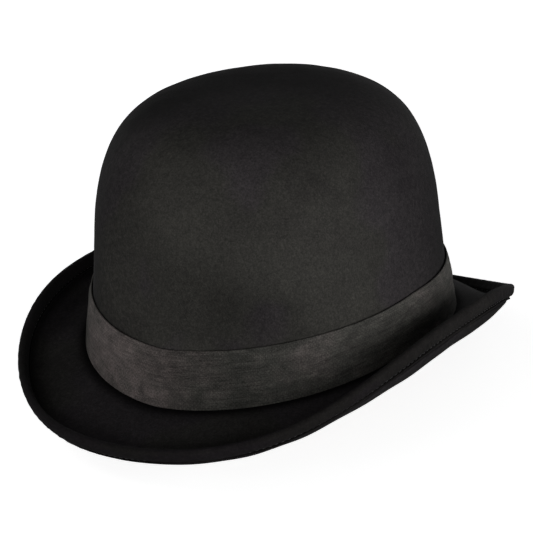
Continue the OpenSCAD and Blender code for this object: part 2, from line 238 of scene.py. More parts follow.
def brim_at(angle, share, lift, beyond=0.0):
    """lift is along the section's normal (to the upper face), beyond along its run (to the tip)."""
    angle, share, lift, beyond = np.broadcast_arrays(
        *[np.asarray(value, float) for value in (angle, share, lift, beyond)])
    handle1, handle2, tip = brim_section(angle)
    col = share[..., None]
    spot = 3 * col * (1 - col) ** 2 * handle1 + 3 * col ** 2 * (1 - col) * handle2 + col ** 3 * tip
    slope = (3 * (1 - col) ** 2 * handle1 + 6 * col * (1 - col) * (handle2 - handle1)
             + 3 * col ** 2 * (tip - handle2))
    spot[..., 1] -= STACK / 2 * (1 - share) ** 2
    slope[..., 1] += STACK * (1 - share)
    # the run starts level under the band, so the normal turns from upright over the first share
    turned = ease(share / 0.07)[..., None]
    along = unit(unit(slope) * turned + np.array([1.0, 0.0]) * (1 - turned))
    normal = np.stack([-along[..., 1], along[..., 0]], -1)
    spot = spot + lift[..., None] * normal + beyond[..., None] * along
    out = unit(np.stack([np.cos(angle) / BAND_HALF_W, np.sin(angle) / BAND_HALF_L], -1))
    return np.stack([(BAND_HALF_W + FLARE) * np.cos(angle) + spot[..., 0] * out[..., 0],
                     (BAND_HALF_L + FLARE) * np.sin(angle) + spot[..., 0] * out[..., 1],
                     base_z(angle) + spot[..., 1]], -1)


def edge_at(angle, run, lift):
    """Brim point run millimetres in from the tip; past the cord's centre it goes straight on."""
    share = share_at(angle, np.maximum(run, NOSE_RUN))
    return brim_at(angle, share, lift, np.maximum(0, NOSE_RUN - run))


def seat_at(angle, inset, lift):
    """The level part of the brim under the crown's foot."""
    x = (BAND_HALF_W + FLARE - inset) * np.cos(angle)
    y = (BAND_HALF_L + FLARE - inset) * np.sin(angle)
    return np.stack(np.broadcast_arrays(x, y, base_z(angle) - STACK / 2 + lift), -1)


# ---------------------------------------------------------------- seeded unevenness
def space_waves(seed, shortest, longest, count):
    """Smooth noise over points: a sum of sines in random directions, wavelengths in mm."""
    draw = np.random.default_rng(seed)
    heading = unit(draw.normal(size=(count, 3)))
    vectors = heading * (TURN / draw.uniform(shortest, longest, count))[:, None]
    phases = draw.uniform(0, TURN, count)
    scale = 1 / math.sqrt(count / 2)

    def noise(points):
        return sum(np.sin(points @ vector + phase)
                   for vector, phase in zip(vectors, phases)) * scale

    return noise


def round_waves(seed, fewest, most, count):
    """Smooth noise over the angle round the hat, in whole periods so that it closes."""
    draw = np.random.default_rng(seed)
    periods = draw.integers(fewest, most, count)
    phases = draw.uniform(0, TURN, count)
    sizes = draw.uniform(0.5, 1, count)
    scale = 1 / math.sqrt((sizes ** 2).sum() / 2)

    def noise(angle):
        return sum(size * np.sin(period * angle + phase)
                   for period, phase, size in zip(periods, phases, sizes)) * scale

    return noise


# ---------------------------------------------------------------- mesh building
class Sheet:
    """Collects points, faces and UVs, and builds one object from them."""

    def __init__(self):
        self.points, self.faces, self.uvs, self.count = [], [], [], 0

    def add_points(self, points):
        points = np.asarray(points, float).reshape(-1, 3)
        start = self.count
        self.points.append(points)
        self.count += len(points)
        return start

    def add_faces(self, faces):
        self.faces.append(faces)
        self.uvs.append(np.zeros((len(faces), faces.shape[1], 2)))

    def grid(self, points, wrap_rows=True, wrap_cols=True, uv=None):
        """Faces turn outwards when rows run counter-clockwise from above and columns run
        up the outer side. The default UVs are mean lengths along both ways."""
        rows, cols = points.shape[:2]
        start = self.add_points(points)
        i, j = np.meshgrid(np.arange(rows if wrap_rows else rows - 1),
                           np.arange(cols if wrap_cols else cols - 1), indexing="ij")
        next_i, next_j = (i + 1) % rows, (j + 1) % cols
        quads = np.stack([i * cols + j, next_i * cols + j,
                          next_i * cols + next_j, i * cols + next_j], -1)
        self.faces.append(quads.reshape(-1, 4) + start)
        if uv is None:
            lengths = [np.r_[0, np.cumsum(np.linalg.norm(
                np.roll(points, -1, axis) - points, axis=-1).mean(1 - axis))] for axis in (0, 1)]
            uv = np.stack(np.meshgrid(*lengths, indexing="ij"), -1)
        corners = np.stack([uv[i, j], uv[i + 1, j], uv[i + 1, j + 1], uv[i, j + 1]], 2)
        self.uvs.append(corners.reshape(-1, 4, 2))

    def cap(self, points, column, centre):
        """Closes the first (0) or last (-1) column of the mesh's first grid with a fan."""
        rows, cols = points.shape[:2]
        middle = self.add_points(centre)
        ring = np.arange(rows) * cols + column % cols
        fan = np.stack([ring, np.roll(ring, -1), np.full_like(ring, middle)], -1)
        self.add_faces(fan[:, ::-1] if column == 0 else fan)

    def build(self, name, crease_shade=None):
        """The crease shade marks, per point, how much painted shade darkens the cloth in a seam or
        fold.
        """
        points = np.concatenate(self.points)
        mesh = bpy.data.meshes.new(name)
        mesh.vertices.add(len(points))
        mesh.vertices.foreach_set("co", (points * MM).astype(np.float32).ravel())
        loops = np.concatenate([faces.ravel() for faces in self.faces])
        sizes = np.concatenate([np.full(len(faces), faces.shape[1]) for faces in self.faces])
        starts = np.r_[0, np.cumsum(sizes)[:-1]]
        mesh.loops.add(len(loops))
        mesh.loops.foreach_set("vertex_index", loops.astype(np.int32))
        mesh.polygons.add(len(sizes))
        mesh.polygons.foreach_set("loop_start", starts.astype(np.int32))
        mesh.update(calc_edges=True)
        mesh.polygons.foreach_set("use_smooth", np.full(len(sizes), True))
        uv = np.concatenate([corners.reshape(-1, 2) for corners in self.uvs]) * MM
        layer = mesh.uv_layers.new(name="UVMap")
        layer.data.foreach_set("uv", uv.astype(np.float32).ravel())
        if crease_shade is not None:
            attribute = mesh.attributes.new("crease_shade", "FLOAT", "POINT")
            attribute.data.foreach_set("value", crease_shade.astype(np.float32).ravel())
        mesh.update()
        return link_object(name, mesh)


def link_object(name, data):
    obj = bpy.data.objects.new(name, data)
    bpy.context.scene.collection.objects.link(obj)
    return obj


def angles(count, extra=()):
    """A column of angles round the hat."""
    result = np.linspace(0, TURN, count, endpoint=False)
    if len(extra):
        result = np.unique(np.round(np.r_[result, np.mod(extra, TURN)], 6))
    return result[:, None]


def arc(start, end, count, trim=0):
    """A row of angles round a section, with trim angles dropped at each end."""
    return np.linspace(start, end, count)[trim:count - trim][None]


def full_circle(count):
    return np.linspace(0, TURN, count, endpoint=False)[None]


def add_threads(sheet, path, normal, radius, sides=8):
    """Closed, tapered threads along path; path and normal are (threads, steps, 3)."""
    threads, steps = path.shape[:2]
    tangent = unit(np.gradient(path, axis=1))
    across = unit(np.cross(tangent, normal))
    normal = np.cross(across, tangent)
    spin = np.arange(sides) * TURN / sides
    taper = (0.45, 0.85, 1, 1, 1, 0.85, 0.45)
    radii = radius * np.interp(np.linspace(0, 1, steps), np.linspace(0, 1, len(taper)), taper)
    turned = (np.cos(spin)[:, None] * normal[:, :, None]
              + np.sin(spin)[:, None] * across[:, :, None])
    start = sheet.add_points(path[:, :, None] + radii[:, None, None] * turned)
    k, i, j = np.meshgrid(np.arange(threads), np.arange(steps - 1), np.arange(sides),
                          indexing="ij")
    here = start + k * steps * sides + i * sides
    next_j = (j + 1) % sides
    quads = np.stack([here + j, here + next_j, here + sides + next_j, here + sides + j], -1)
    sheet.faces.append(quads.reshape(-1, 4))
    length = np.linalg.norm(np.diff(path, axis=1), axis=-1).sum(1).mean()
    corners = [np.stack([a / (steps - 1) * length, b / sides * TURN * radius], -1)
               for a, b in ((i, j), (i, j + 1), (i + 1, j + 1), (i + 1, j))]
    sheet.uvs.append(np.stack(corners, -2).reshape(-1, 4, 2))
    first = np.arange(threads)[:, None] * steps * sides + start
    sheet.add_faces(first + np.arange(sides)[::-1])
    sheet.add_faces(first + (steps - 1) * sides + np.arange(sides))


STITCH = np.linspace(-1, 1, 7)                  # stations along one stitch


def add_stitch_round(sheet, surface, count, length, radius, jitter=0.04, gap=None):
    """Stitches round the hat; surface(angle, lift) gives points. gap is (angle, half width)."""
    draw = np.random.default_rng(count)
    centre = np.arange(count) * TURN / count + draw.normal(0, jitter, count) * TURN / count
    if gap:
        centre = centre[np.abs(arc_from(centre, gap[0], radius=1)) >= gap[1]]
    # millimetres per radian, to keep every stitch the same length
    step = 1e-3
    speed = np.linalg.norm(surface(centre + step, 0.0) - surface(centre - step, 0.0),
                           axis=-1) / (2 * step)
    angle = centre[:, None] + STITCH * (length / 2 / speed)[:, None]
    lift = -0.22 * np.abs(STITCH[None]) ** 2.6
    path = surface(angle, lift)
    add_threads(sheet, path, unit(surface(angle, 0.3 + lift) - path), radius)


# ---------------------------------------------------------------- shader building
def rgb(r, g, b):
    return (r, g, b, 1.0)


def scaled(colour, gain):
    return tuple(c * gain for c in colour[:3]) + (1,)


class Shader:
    """A node material round one Principled shader, with short helpers."""

    def __init__(self, name):
        self.material = bpy.data.materials.new(name)
        self.material.use_nodes = True
        self.tree = self.material.node_tree
        self.tree.nodes.clear()
        self.output = self.node("ShaderNodeOutputMaterial")
        self.principled = self.node("ShaderNodeBsdfPrincipled")
        self.feed(self.output.inputs["Surface"], self.principled.outputs[0])
        coords = self.node("ShaderNodeTexCoord")
        self.obj, self.uv = coords.outputs["Object"], coords.outputs["UV"]

    def feed(self, socket, value):
        """Links a socket to the input, or sets a plain value."""
        if isinstance(value, bpy.types.NodeSocket):
            self.tree.links.new(value, socket)
        else:
            socket.default_value = value

    def node(self, kind, inputs=None, **settings):
        """inputs maps an input's name or number to a value or socket."""
        node = self.tree.nodes.new(kind)
        for key, value in settings.items():
            setattr(node, key, value)
        for key, value in (inputs or {}).items():
            self.feed(node.inputs[key], value)
        return node

    def surface(self, **values):
        """Principled inputs, with underscores for spaces."""
        for key, value in values.items():
            self.feed(self.principled.inputs[key.replace("_", " ")], value)
        return self.material

    def moved(self, vector, loc, stretch):
        vector = self.obj if vector is None else vector
        if loc is None and stretch is None:
            return vector
        return self.node("ShaderNodeMapping", {
            "Scale": stretch or (1, 1, 1), "Location": loc or (0, 0, 0),
            "Vector": vector}).outputs[0]

    def noise(self, scale, detail=3.0, rough=0.55, distort=0.0, vector=None, loc=None,
              stretch=None):
        vector = self.moved(vector, loc, stretch)
        return self.node("ShaderNodeTexNoise", {
            "Scale": scale, "Detail": detail, "Roughness": rough, "Distortion": distort,
            "Vector": vector}).outputs["Fac"]

    def voronoi(self, scale, feature="F1", loc=None, stretch=None):
        vector = self.moved(None, loc, stretch)
        return self.node("ShaderNodeTexVoronoi", {
            "Scale": scale, "Randomness": 1.0, "Vector": vector},
            feature=feature).outputs["Distance"]

    def math(self, operation, *values):
        return self.node("ShaderNodeMath", dict(enumerate(values)),
                         operation=operation).outputs[0]

    def add(self, a, b):
        return self.math("ADD", a, b)

    def less(self, a, b):
        return self.math("SUBTRACT", a, b)

    def times(self, a, b):
        return self.math("MULTIPLY", a, b)

    def ripple(self, value):
        """The sine's distance from zero."""
        return self.math("ABSOLUTE", self.math("SINE", value))

    def sum_of(self, a, share_a, b, share_b):
        return self.add(self.times(a, share_a), self.times(b, share_b))

    def uv_axes(self):
        return self.node("ShaderNodeSeparateXYZ", {0: self.uv}).outputs

    def distance(self, vector, point):
        return self.node("ShaderNodeVectorMath", {0: vector, 1: point},
                         operation="DISTANCE").outputs["Value"]

    def ramp(self, factor, stops, interpolation="LINEAR"):
        node = self.node("ShaderNodeValToRGB", {0: factor})
        node.color_ramp.interpolation = interpolation
        elements = node.color_ramp.elements
        while len(elements) < len(stops):
            elements.new(0.5)
        for element, (position, colour) in zip(elements, stops):
            element.position = position
            element.color = colour
        return node.outputs[0]

    def mix(self, factor, a, b, mode="MIX"):
        return self.node("ShaderNodeMix", {0: factor, 6: a, 7: b}, data_type="RGBA",
                         blend_type=mode).outputs[2]

    def tint(self, colour, factor, gains):
        """Multiplies the colour by gains, as far as factor says."""
        return self.mix(factor, colour, self.mix(1.0, colour, tuple(gains) + (1,), "MULTIPLY"))

    def remap(self, value, source, target=(0.0, 1.0)):
        """Takes the source range to the target range, held at its ends."""
        limits = dict(enumerate((*source, *target), 1))
        return self.node("ShaderNodeMapRange", {0: value, **limits}).outputs[0]

    def bump(self, height, distance, strength, normal=None):
        inputs = {"Strength": strength, "Distance": distance, "Height": height}
        if normal is not None:
            inputs["Normal"] = normal
        return self.node("ShaderNodeBump", inputs).outputs[0]

    def facing(self):
        """0 where the surface squarely faces the eye, 1 at grazing."""
        return self.node("ShaderNodeLayerWeight", {"Blend": 0.5}).outputs["Facing"]

    def crease_shade(self):
        return self.node("ShaderNodeAttribute", attribute_name="crease_shade").outputs["Fac"]

    def crease_shaded(self, colour, keep):
        """Painted shade: darkens the colour where the mesh marks a seam or fold."""
        return self.tint(colour, self.crease_shade(), (keep, keep, keep))


# ---------------------------------------------------------------- materials
def soft_spots(mat, spots):
    """Sum of soft, wobbly-edged spots (x, y, z, radius, gain), or None without spots."""
    if not spots:
        return None
    wobble = 0.03
    colour = mat.node("ShaderNodeTexNoise", {"Scale": 38.0, "Detail": 3.0, "Vector": mat.obj})
    place = mat.node("ShaderNodeVectorMath", {
        0: colour.outputs["Color"], 1: (wobble,) * 3, 2: mat.obj}, operation="MULTIPLY_ADD")
    total = None
    for *centre, radius, gain in spots:
        # the noise averages a half, so the centre moves by half the wobble
        away = mat.distance(place.outputs[0], [c + wobble / 2 for c in centre])
        spot = mat.remap(away, (0.0, radius), (gain, 0.0))
        total = spot if total is None else mat.add(total, spot)
    return total


def velour(name, dark, mid, light, scale=1.0, seed=0.0, square=1.20, graze=0.20, dye=0.0,
           painted_light=(), dyes=()):
    """Brushed cloth: short nap in faint clouds, fibre grain and a trace of two dyes.

    square and graze are the painted shade where the surface faces the eye and where it turns
    away at the silhouette. The spots of painted light and shade make the cloth lighter or darker,
    dyes spots shift the tint."""
    mat = Shader(name)
    cloud = mat.noise(17 * scale, rough=0.5, distort=0.3, loc=(seed, seed * 0.7, -seed * 0.4))
    patch = mat.noise(60 * scale, rough=0.6, distort=0.8, loc=(seed, 1.3, 0))
    grain = mat.noise(1050, rough=0.72, loc=(seed, 0, 0))
    fibre = mat.noise(2300, rough=0.7, stretch=(1, 1, 0.4))
    tuft = mat.noise(430, detail=2, rough=0.6, distort=0.6, loc=(0, seed, 0.3))
    col = mat.ramp(mat.sum_of(cloud, 0.62, patch, 0.38),
                   [(0.34, dark), (0.5, mid), (0.66, light)], "EASE")

    # two dyes, parted where the hue value crosses its middle
    gain, shift = soft_spots(mat, painted_light), soft_spots(mat, dyes)
    hue = mat.noise(13, detail=2, rough=0.5, loc=(3.1 + seed, 0, 0))
    away = mat.facing()
    # the tint turns purple where the cloth turns away from the eye and where the spots darken it,
    # green where they lighten it: painted shade and light
    hue = mat.less(mat.add(mat.times(hue, 0.5), 0.25 + dye), mat.times(away, 0.14))
    if gain is not None:
        hue = mat.add(hue, mat.times(gain, 0.20))
    if shift is not None:
        hue = mat.add(hue, shift)
    col = mat.tint(col, mat.remap(hue, (0.40, 0.44)), (1.015, 1.0, 0.925))
    col = mat.tint(col, mat.remap(hue, (0.44, 0.40)), (1.05, 0.965, 1.035))

    # light and dark specks
    col = mat.tint(col, mat.remap(grain, (0.50, 0.72), (0.0, 0.62)), (1.9, 1.88, 1.86))
    col = mat.tint(col, mat.remap(grain, (0.50, 0.28), (0.0, 0.62)), (0.42, 0.42, 0.43))
    col = mat.tint(col, mat.remap(fibre, (0.45, 0.7), (0.0, 0.35)), (1.6, 1.6, 1.6))
    # seen along the nap, the tufts stand out more
    along = mat.remap(away, (0.25, 0.85), (0.34, 1.0))
    for end, gains in ((0.68, (1.45, 1.44, 1.42)), (0.32, (0.62, 0.62, 0.63))):
        col = mat.tint(col, mat.times(mat.remap(tuft, (0.50, end)), along), gains)

    # painted shade: darker as the surface turns away from the eye, lighter or darker at the spots
    # of painted light and shade
    shade = mat.math("POWER", mat.math("DIVIDE", away, 0.85), 1.5)
    shade = mat.remap(shade, (0.0, 1.0), (square, graze))
    if gain is not None:
        shade = mat.times(shade, mat.add(gain, 1.0))
    grey = mat.node("ShaderNodeCombineColor", dict.fromkeys(range(3), shade)).outputs[0]
    # painted shade in the seams and folds that the mesh marks
    col = mat.crease_shaded(mat.mix(1.0, col, grey, "MULTIPLY"), keep=0.06)
    normal = mat.bump(mat.sum_of(grain, 0.65, fibre, 0.35), distance=0.00035, strength=0.5)
    mat.surface(Base_Color=col, Roughness=mat.remap(grain, (0.3, 0.7), (0.85, 1.0)),
                Normal=normal)
    # painted shade: seams and folds lose their sheen and shine as well
    smooth = mat.less(1.0, mat.crease_shade())
    return mat.surface(Sheen_Weight=mat.times(smooth, 0.015), Sheen_Roughness=0.5,
                       Specular_IOR_Level=mat.times(smooth, 0.06))


# lighter, redder places of the hatband, the rest a little greener: centre, inner and outer radius,
# gain
BAND_BRIGHT_SPOTS = [((-0.020, -0.100, 0.010), (0.030, 0.062), 1.0),
             ((0.072, -0.069, 0.020), (0.004, 0.024), 0.4),
             ((0.093, 0.012, 0.024), (0.006, 0.030), 0.4)]


def band_marks_and_shade(mat, col, darker, lighter, speck):
    """Specks, mottling, thin painted shade lines of creases, a painted shadow low at the front, and
    lighter places at the front and on the wearer's left.
    """
    specks = mat.noise(1150, rough=0.75, stretch=(1, 1, 1.4))
    col = mat.mix(mat.remap(specks, (0.52, 0.70), (0.0, speck)), col, darker)
    col = mat.mix(mat.remap(specks, (0.46, 0.30), (0.0, speck)), col, lighter)
    brighter = mat.remap(mat.noise(60, rough=0.6), (0.40, 0.62), (-0.30, 0.30))
    mottle = mat.noise(230, detail=4, rough=0.65, distort=0.5, vector=mat.uv,
                       loc=(0.2, 0.1, 0), stretch=(0.5, 1, 1))
    col = mat.tint(col, mat.remap(mottle, (0.50, 0.70), (0.0, 0.8)), (1.42, 1.38, 1.38))
    col = mat.tint(col, mat.remap(mottle, (0.50, 0.30), (0.0, 0.8)), (0.60, 0.62, 0.62))
    # painted shade: thin dark crease lines along the band, only in some places
    fold = mat.noise(62, detail=2, rough=0.5, distort=1.2, vector=mat.uv,
                     loc=(0.9, 0.3, 0), stretch=(0.28, 5.5, 1))
    fold = mat.remap(mat.math("ABSOLUTE", mat.less(fold, 0.5)), (0.0, 0.028), (1.0, 0.0))
    where = mat.remap(mat.noise(26, detail=2, rough=0.5), (0.46, 0.60), (0.0, 0.9))
    col = mat.tint(col, mat.times(fold, where), (0.50, 0.50, 0.50))
    for centre, radii, gain in BAND_BRIGHT_SPOTS:
        brighter = mat.add(brighter, mat.remap(mat.distance(mat.obj, centre), radii, (gain, 0.0)))
    brighter = mat.math("MAXIMUM", mat.math("MINIMUM", brighter, 1.0), 0.0)
    shadow = mat.distance(mat.obj, (0.036, -0.098, 0.004))
    col = mat.tint(col, mat.remap(shadow, (0.012, 0.060), (1.0, 0.0)), (0.62, 0.63, 0.62))
    col = mat.tint(col, brighter, (1.56, 1.46, 1.48))
    return mat.tint(col, mat.less(1.0, brighter), (0.92, 0.97, 0.93))


def weave(name, warp, weft, pitch, slub, rough=0.9, bump=0.00022, contrast=0.5, speck=0.0):
    """Plain weave on the UV map: yarns pitch mm apart, with thick and thin places (slub)."""
    mat = Shader(name)
    wobble = [mat.noise(260, rough=0.6), mat.noise(240, rough=0.6, loc=(0.7, 0.2, 0.1))]
    axes = mat.uv_axes()
    phases = [mat.add(mat.times(axes[i], math.pi / (pitch * MM)), mat.times(wobble[i], 6.0))
              for i in range(2)]
    sines = [mat.math("SINE", phase) for phase in phases]
    rounds = [mat.math("ABSOLUTE", sine) for sine in sines]
    over = mat.times(mat.times(*sines), 1.0)
    # warp shows where over is positive, weft elsewhere; each yarn is round across its width
    is_warp = mat.remap(over, (-0.25, 0.25))
    yarn = mat.node("ShaderNodeMix", {0: is_warp, 2: rounds[1], 3: rounds[0]},
                    data_type="FLOAT").outputs[0]
    height = mat.times(yarn, mat.add(mat.times(mat.math("ABSOLUTE", over), 0.5), 0.5))
    slub_u = mat.noise(500, detail=4, rough=0.65, vector=mat.uv, stretch=(0.14, 1.5, 1))
    slub_v = mat.noise(700, detail=4, rough=0.65, vector=mat.uv, stretch=(1.5, 0.2, 1),
                       loc=(0.4, 0, 0))
    grain = mat.noise(1500, rough=0.7)
    cloud = mat.noise(34, rough=0.6)
    darker, lighter = scaled(warp, 0.36), scaled(weft, 1.75)
    col = mat.mix(is_warp, warp, weft)
    # painted shade: each yarn darker at its sides and where it dips under the other
    col = mat.mix(mat.remap(height, (0.42, 0.05), (0.0, contrast)), col, darker)
    slubs = mat.sum_of(slub_u, 0.6, slub_v, 0.4)
    col = mat.mix(mat.remap(slubs, (0.50, 0.32), (0.0, slub)), col, darker)
    col = mat.mix(mat.remap(slubs, (0.50, 0.68), (0.0, slub)), col, lighter)
    col = mat.mix(mat.remap(grain, (0.5, 0.7), (0.0, 0.3)), col, lighter)
    col = mat.mix(mat.remap(cloud, (0.4, 0.68), (0.0, 0.35)), col, darker)
    if speck:
        col = band_marks_and_shade(mat, col, darker, lighter, speck)
    # painted shade in the seams and folds that the mesh marks
    col = mat.crease_shaded(col, keep=0.30)
    normal = mat.bump(height, distance=bump, strength=0.8)
    normal = mat.bump(slubs, distance=0.0006, strength=0.4, normal=normal)
    return mat.surface(Base_Color=col, Roughness=rough, Normal=normal, Sheen_Weight=0.015,
                       Sheen_Roughness=0.5, Specular_IOR_Level=0.08)


def plastic(name, colour, rough, transmission):
    mat = Shader(name)
    cloud = mat.noise(300, detail=2, rough=0.5)
    return mat.surface(
        Base_Color=mat.mix(mat.remap(cloud, (0.3, 0.7), (0, 0.25)), colour, scaled(colour, 0.7)),
        Roughness=mat.remap(cloud, (0.3, 0.7), (rough, rough + 0.15)),
        Normal=mat.bump(mat.noise(1500), distance=0.00003, strength=0.3),
        Transmission_Weight=transmission)


def felt(name, dark, light):
    mat = Shader(name)
    fibre = mat.noise(1500, detail=4, rough=0.75, distort=1.2)
    cloud = mat.noise(120, rough=0.6)
    return mat.surface(Base_Color=mat.mix(mat.sum_of(fibre, 0.6, cloud, 0.4), dark, light),
                       Roughness=0.95, Sheen_Weight=0.1,
                       Normal=mat.bump(fibre, distance=0.0004, strength=0.7))


def thread(name, colour):
    """Two-ply thread: diagonal ply lines along the UV's run."""
    mat = Shader(name)
    axes = mat.uv_axes()
    per_ply = TURN / (0.55 * MM)
    ply = mat.ripple(mat.sum_of(axes[0], per_ply, axes[1], per_ply))
    fibre = mat.noise(3500, detail=2, rough=0.6)
    # painted shade in the grooves between the plies
    return mat.surface(
        Base_Color=mat.mix(mat.remap(ply, (0.0, 0.8)), scaled(colour, 0.5), colour),
        Roughness=mat.remap(fibre, (0.3, 0.7), (0.5, 0.75)),
        Normal=mat.bump(ply, distance=0.00008, strength=0.8), Sheen_Weight=0.15)


def leather(name, dark, light):
    mat = Shader(name)
    cells = mat.voronoi(900, feature="SMOOTH_F1", stretch=(1, 1, 0.8))
    fine = mat.voronoi(2300)
    pores = mat.voronoi(1300, loc=(0.3, 0.1, 0.7))
    cloud = mat.noise(38, detail=4, rough=0.6)
    streak = mat.noise(60, rough=0.6, stretch=(0.4, 0.4, 3.0))
    col = mat.ramp(mat.sum_of(cloud, 0.6, streak, 0.4), [(0.35, dark), (0.65, light)])
    col = mat.mix(mat.remap(cells, (0.0, 0.35), (0.35, 0.0)), col, scaled(light, 1.35))
    col = mat.mix(mat.remap(pores, (0.1, 0.0), (0.0, 0.8)), col, scaled(dark, 0.35))
    normal = mat.bump(mat.sum_of(cells, 0.7, fine, 0.3), distance=0.00022, strength=0.5)
    return mat.surface(Base_Color=col, Roughness=mat.remap(cells, (0.1, 0.6), (0.38, 0.58)),
                       Normal=normal, Specular_IOR_Level=0.5, Coat_Weight=0.08,
                       Coat_Roughness=0.35)


def satin(name, colour, light):
    mat = Shader(name)
    lines = mat.math("SINE", mat.times(mat.uv_axes()[0], TURN / (0.28 * MM)))
    run = mat.noise(1500, detail=2, rough=0.6, vector=mat.uv, stretch=(1, 0.05, 1))
    cloud = mat.noise(25, rough=0.6)
    return mat.surface(
        Base_Color=mat.mix(mat.times(mat.add(run, cloud), 0.5), colour, light),
        Roughness=mat.remap(run, (0.3, 0.7), (0.26, 0.4)),
        Normal=mat.bump(mat.add(mat.times(lines, 0.3), run), distance=0.00006, strength=0.5),
        Anisotropic=0.55, Specular_IOR_Level=0.6, Sheen_Weight=0.12, Sheen_Roughness=0.3)


def ribbon(name, colour, rib, sheen=0.2, gloss=0.4):
    """Grosgrain: ribs across the ribbon, rib mm apart."""
    mat = Shader(name)
    ribs = mat.ripple(mat.times(mat.uv_axes()[0], math.pi / (rib * MM)))
    fibre = mat.noise(2500, detail=2, rough=0.6, vector=mat.uv, stretch=(1, 0.3, 1))
    # painted shade in the grooves between the ribs
    return mat.surface(
        Base_Color=mat.mix(mat.remap(ribs, (0.0, 0.6)), scaled(colour, 0.4), colour),
        Roughness=mat.remap(fibre, (0.3, 0.7), (0.5, 0.7)),
        Normal=mat.bump(ribs, distance=0.00018, strength=0.8),
        Sheen_Weight=sheen, Specular_IOR_Level=gloss)


# painted light and shade on the velour, soft spots in metres: x, y, z, radius, gain
CROWN_PAINTED_LIGHT = [
    (-0.058, -0.030, 0.1210, 0.038, -0.90), (-0.040, 0.012, 0.1280, 0.040, -0.78),
    (-0.012, 0.045, 0.1270, 0.042, -0.60), (0.026, 0.048, 0.1260, 0.044, -0.50),
    (0.010, -0.040, 0.1278, 0.048, 0.42), (0.028, -0.012, 0.1285, 0.040, 0.38),
    (-0.025, -0.053, 0.1238, 0.030, 0.28), (0.0464, -0.0450, 0.1190, 0.032, -0.20),
    (-0.037, -0.0889, 0.0491, 0.036, 0.42), (0.0795, -0.0400, 0.0702, 0.042, 0.16),
    (0.0835, 0.0022, 0.0943, 0.036, -0.16), (0.0033, -0.0861, 0.0997, 0.032, 0.12),
    (0.0468, -0.0841, 0.0400, 0.030, -0.40), (0.0658, -0.0684, 0.0330, 0.030, -0.22),
    (0.0244, -0.0936, 0.0500, 0.028, -0.36), (-0.0155, -0.0948, 0.0611, 0.030, -0.10),
    (0.0765, -0.0341, 0.0946, 0.028, -0.04)]
CROWN_DYES = [
    (0.030, -0.050, 0.1260, 0.045, -0.10), (0.075, -0.015, 0.1050, 0.050, -0.12),
    (0.088, 0.010, 0.0600, 0.040, -0.10), (0.0468, -0.0841, 0.0400, 0.026, -0.08),
    (-0.010, -0.0930, 0.0560, 0.022, -0.08), (-0.043, -0.039, 0.1243, 0.050, -0.08),
    (0.005, -0.010, 0.1290, 0.060, -0.14), (0.012, -0.0840, 0.0900, 0.036, 0.10)]
BRIM_PAINTED_LIGHT = [(0.055, 0.129, -0.018, 0.040, 0.40), (-0.088, -0.072, -0.003, 0.035, 0.25)]
BINDING_PAINTED_LIGHT = [(0.118, 0.030, 0.022, 0.060, 0.85), (0.112, -0.035, 0.014, 0.060, 0.30),
                (-0.060, -0.110, 0.0, 0.060, -0.20)]

MATERIALS = {
    "crown_cloth": velour(
        "velour_crown", dark=rgb(0.0258, 0.0250, 0.0250), mid=rgb(0.0305, 0.0300, 0.0294),
        light=rgb(0.0350, 0.0344, 0.0334), square=0.99, graze=0.19,
        painted_light=CROWN_PAINTED_LIGHT, dyes=CROWN_DYES),
    # the brim's velour is darker than the crown's: partly its own colour, partly painted shade
    "brim_cloth": velour(
        "velour_brim", dark=rgb(0.0130, 0.0126, 0.0128), mid=rgb(0.0162, 0.0157, 0.0160),
        light=rgb(0.0197, 0.0192, 0.0194), seed=2.3, graze=0.26, dye=-0.06, painted_light=BRIM_PAINTED_LIGHT),
    # the binding's velour is darker still: partly its own colour, partly painted shade
    "binding_cloth": velour(
        "velour_binding", dark=rgb(0.0060, 0.0056, 0.0059), mid=rgb(0.0075, 0.0070, 0.0073),
        light=rgb(0.0092, 0.0087, 0.0090), scale=1.6, seed=5.1, graze=0.50, dye=-0.05,
        painted_light=BINDING_PAINTED_LIGHT),
    "band_cloth": weave("band_weave", warp=rgb(0.053, 0.0485, 0.0460),
                        weft=rgb(0.070, 0.0645, 0.0610), pitch=1.05, slub=0.55, speck=0.5),
    "stiff_shell": felt("stiff_felt", dark=rgb(0.085, 0.070, 0.058),
                        light=rgb(0.16, 0.135, 0.11)),
    "cord": plastic("cord_plastic", rgb(0.05, 0.05, 0.05), rough=0.35, transmission=0.0),
    "dark_thread": thread("thread_dark", rgb(0.0085, 0.0081, 0.0083)),
    "light_thread": thread("thread_tan", rgb(0.42, 0.33, 0.22)),
    "sweatband_leather": leather("leather_brown", dark=rgb(0.052, 0.021, 0.010),
                                 light=rgb(0.115, 0.050, 0.024)),
    "reed": plastic("reed_plastic", rgb(0.75, 0.72, 0.65), rough=0.25, transmission=0.3),
    "tape": ribbon("woven_tape", rgb(0.012, 0.0115, 0.011), rib=0.45, sheen=0.02, gloss=0.1),
    "ribbon": ribbon("bow_ribbon", rgb(0.030, 0.022, 0.018), rib=0.6),
    "satin": satin("lining_satin", rgb(0.008, 0.0075, 0.0085), light=rgb(0.020, 0.019, 0.021)),
    "patch": weave("patch_weave", warp=rgb(0.17, 0.15, 0.12), weft=rgb(0.24, 0.215, 0.175),
                   pitch=0.7, slub=0.2),
    "label": weave("label_weave", warp=rgb(0.46, 0.44, 0.40), weft=rgb(0.56, 0.54, 0.50),
                   pitch=0.45, slub=0.10, rough=0.6, bump=0.00006, contrast=0.2),
}


def place(obj, node, slot):
    """Gives the piece its material and puts it in the place of the frame's node."""
    obj.data.materials.append(MATERIALS[slot])
    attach(obj, HAT)
    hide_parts(node)


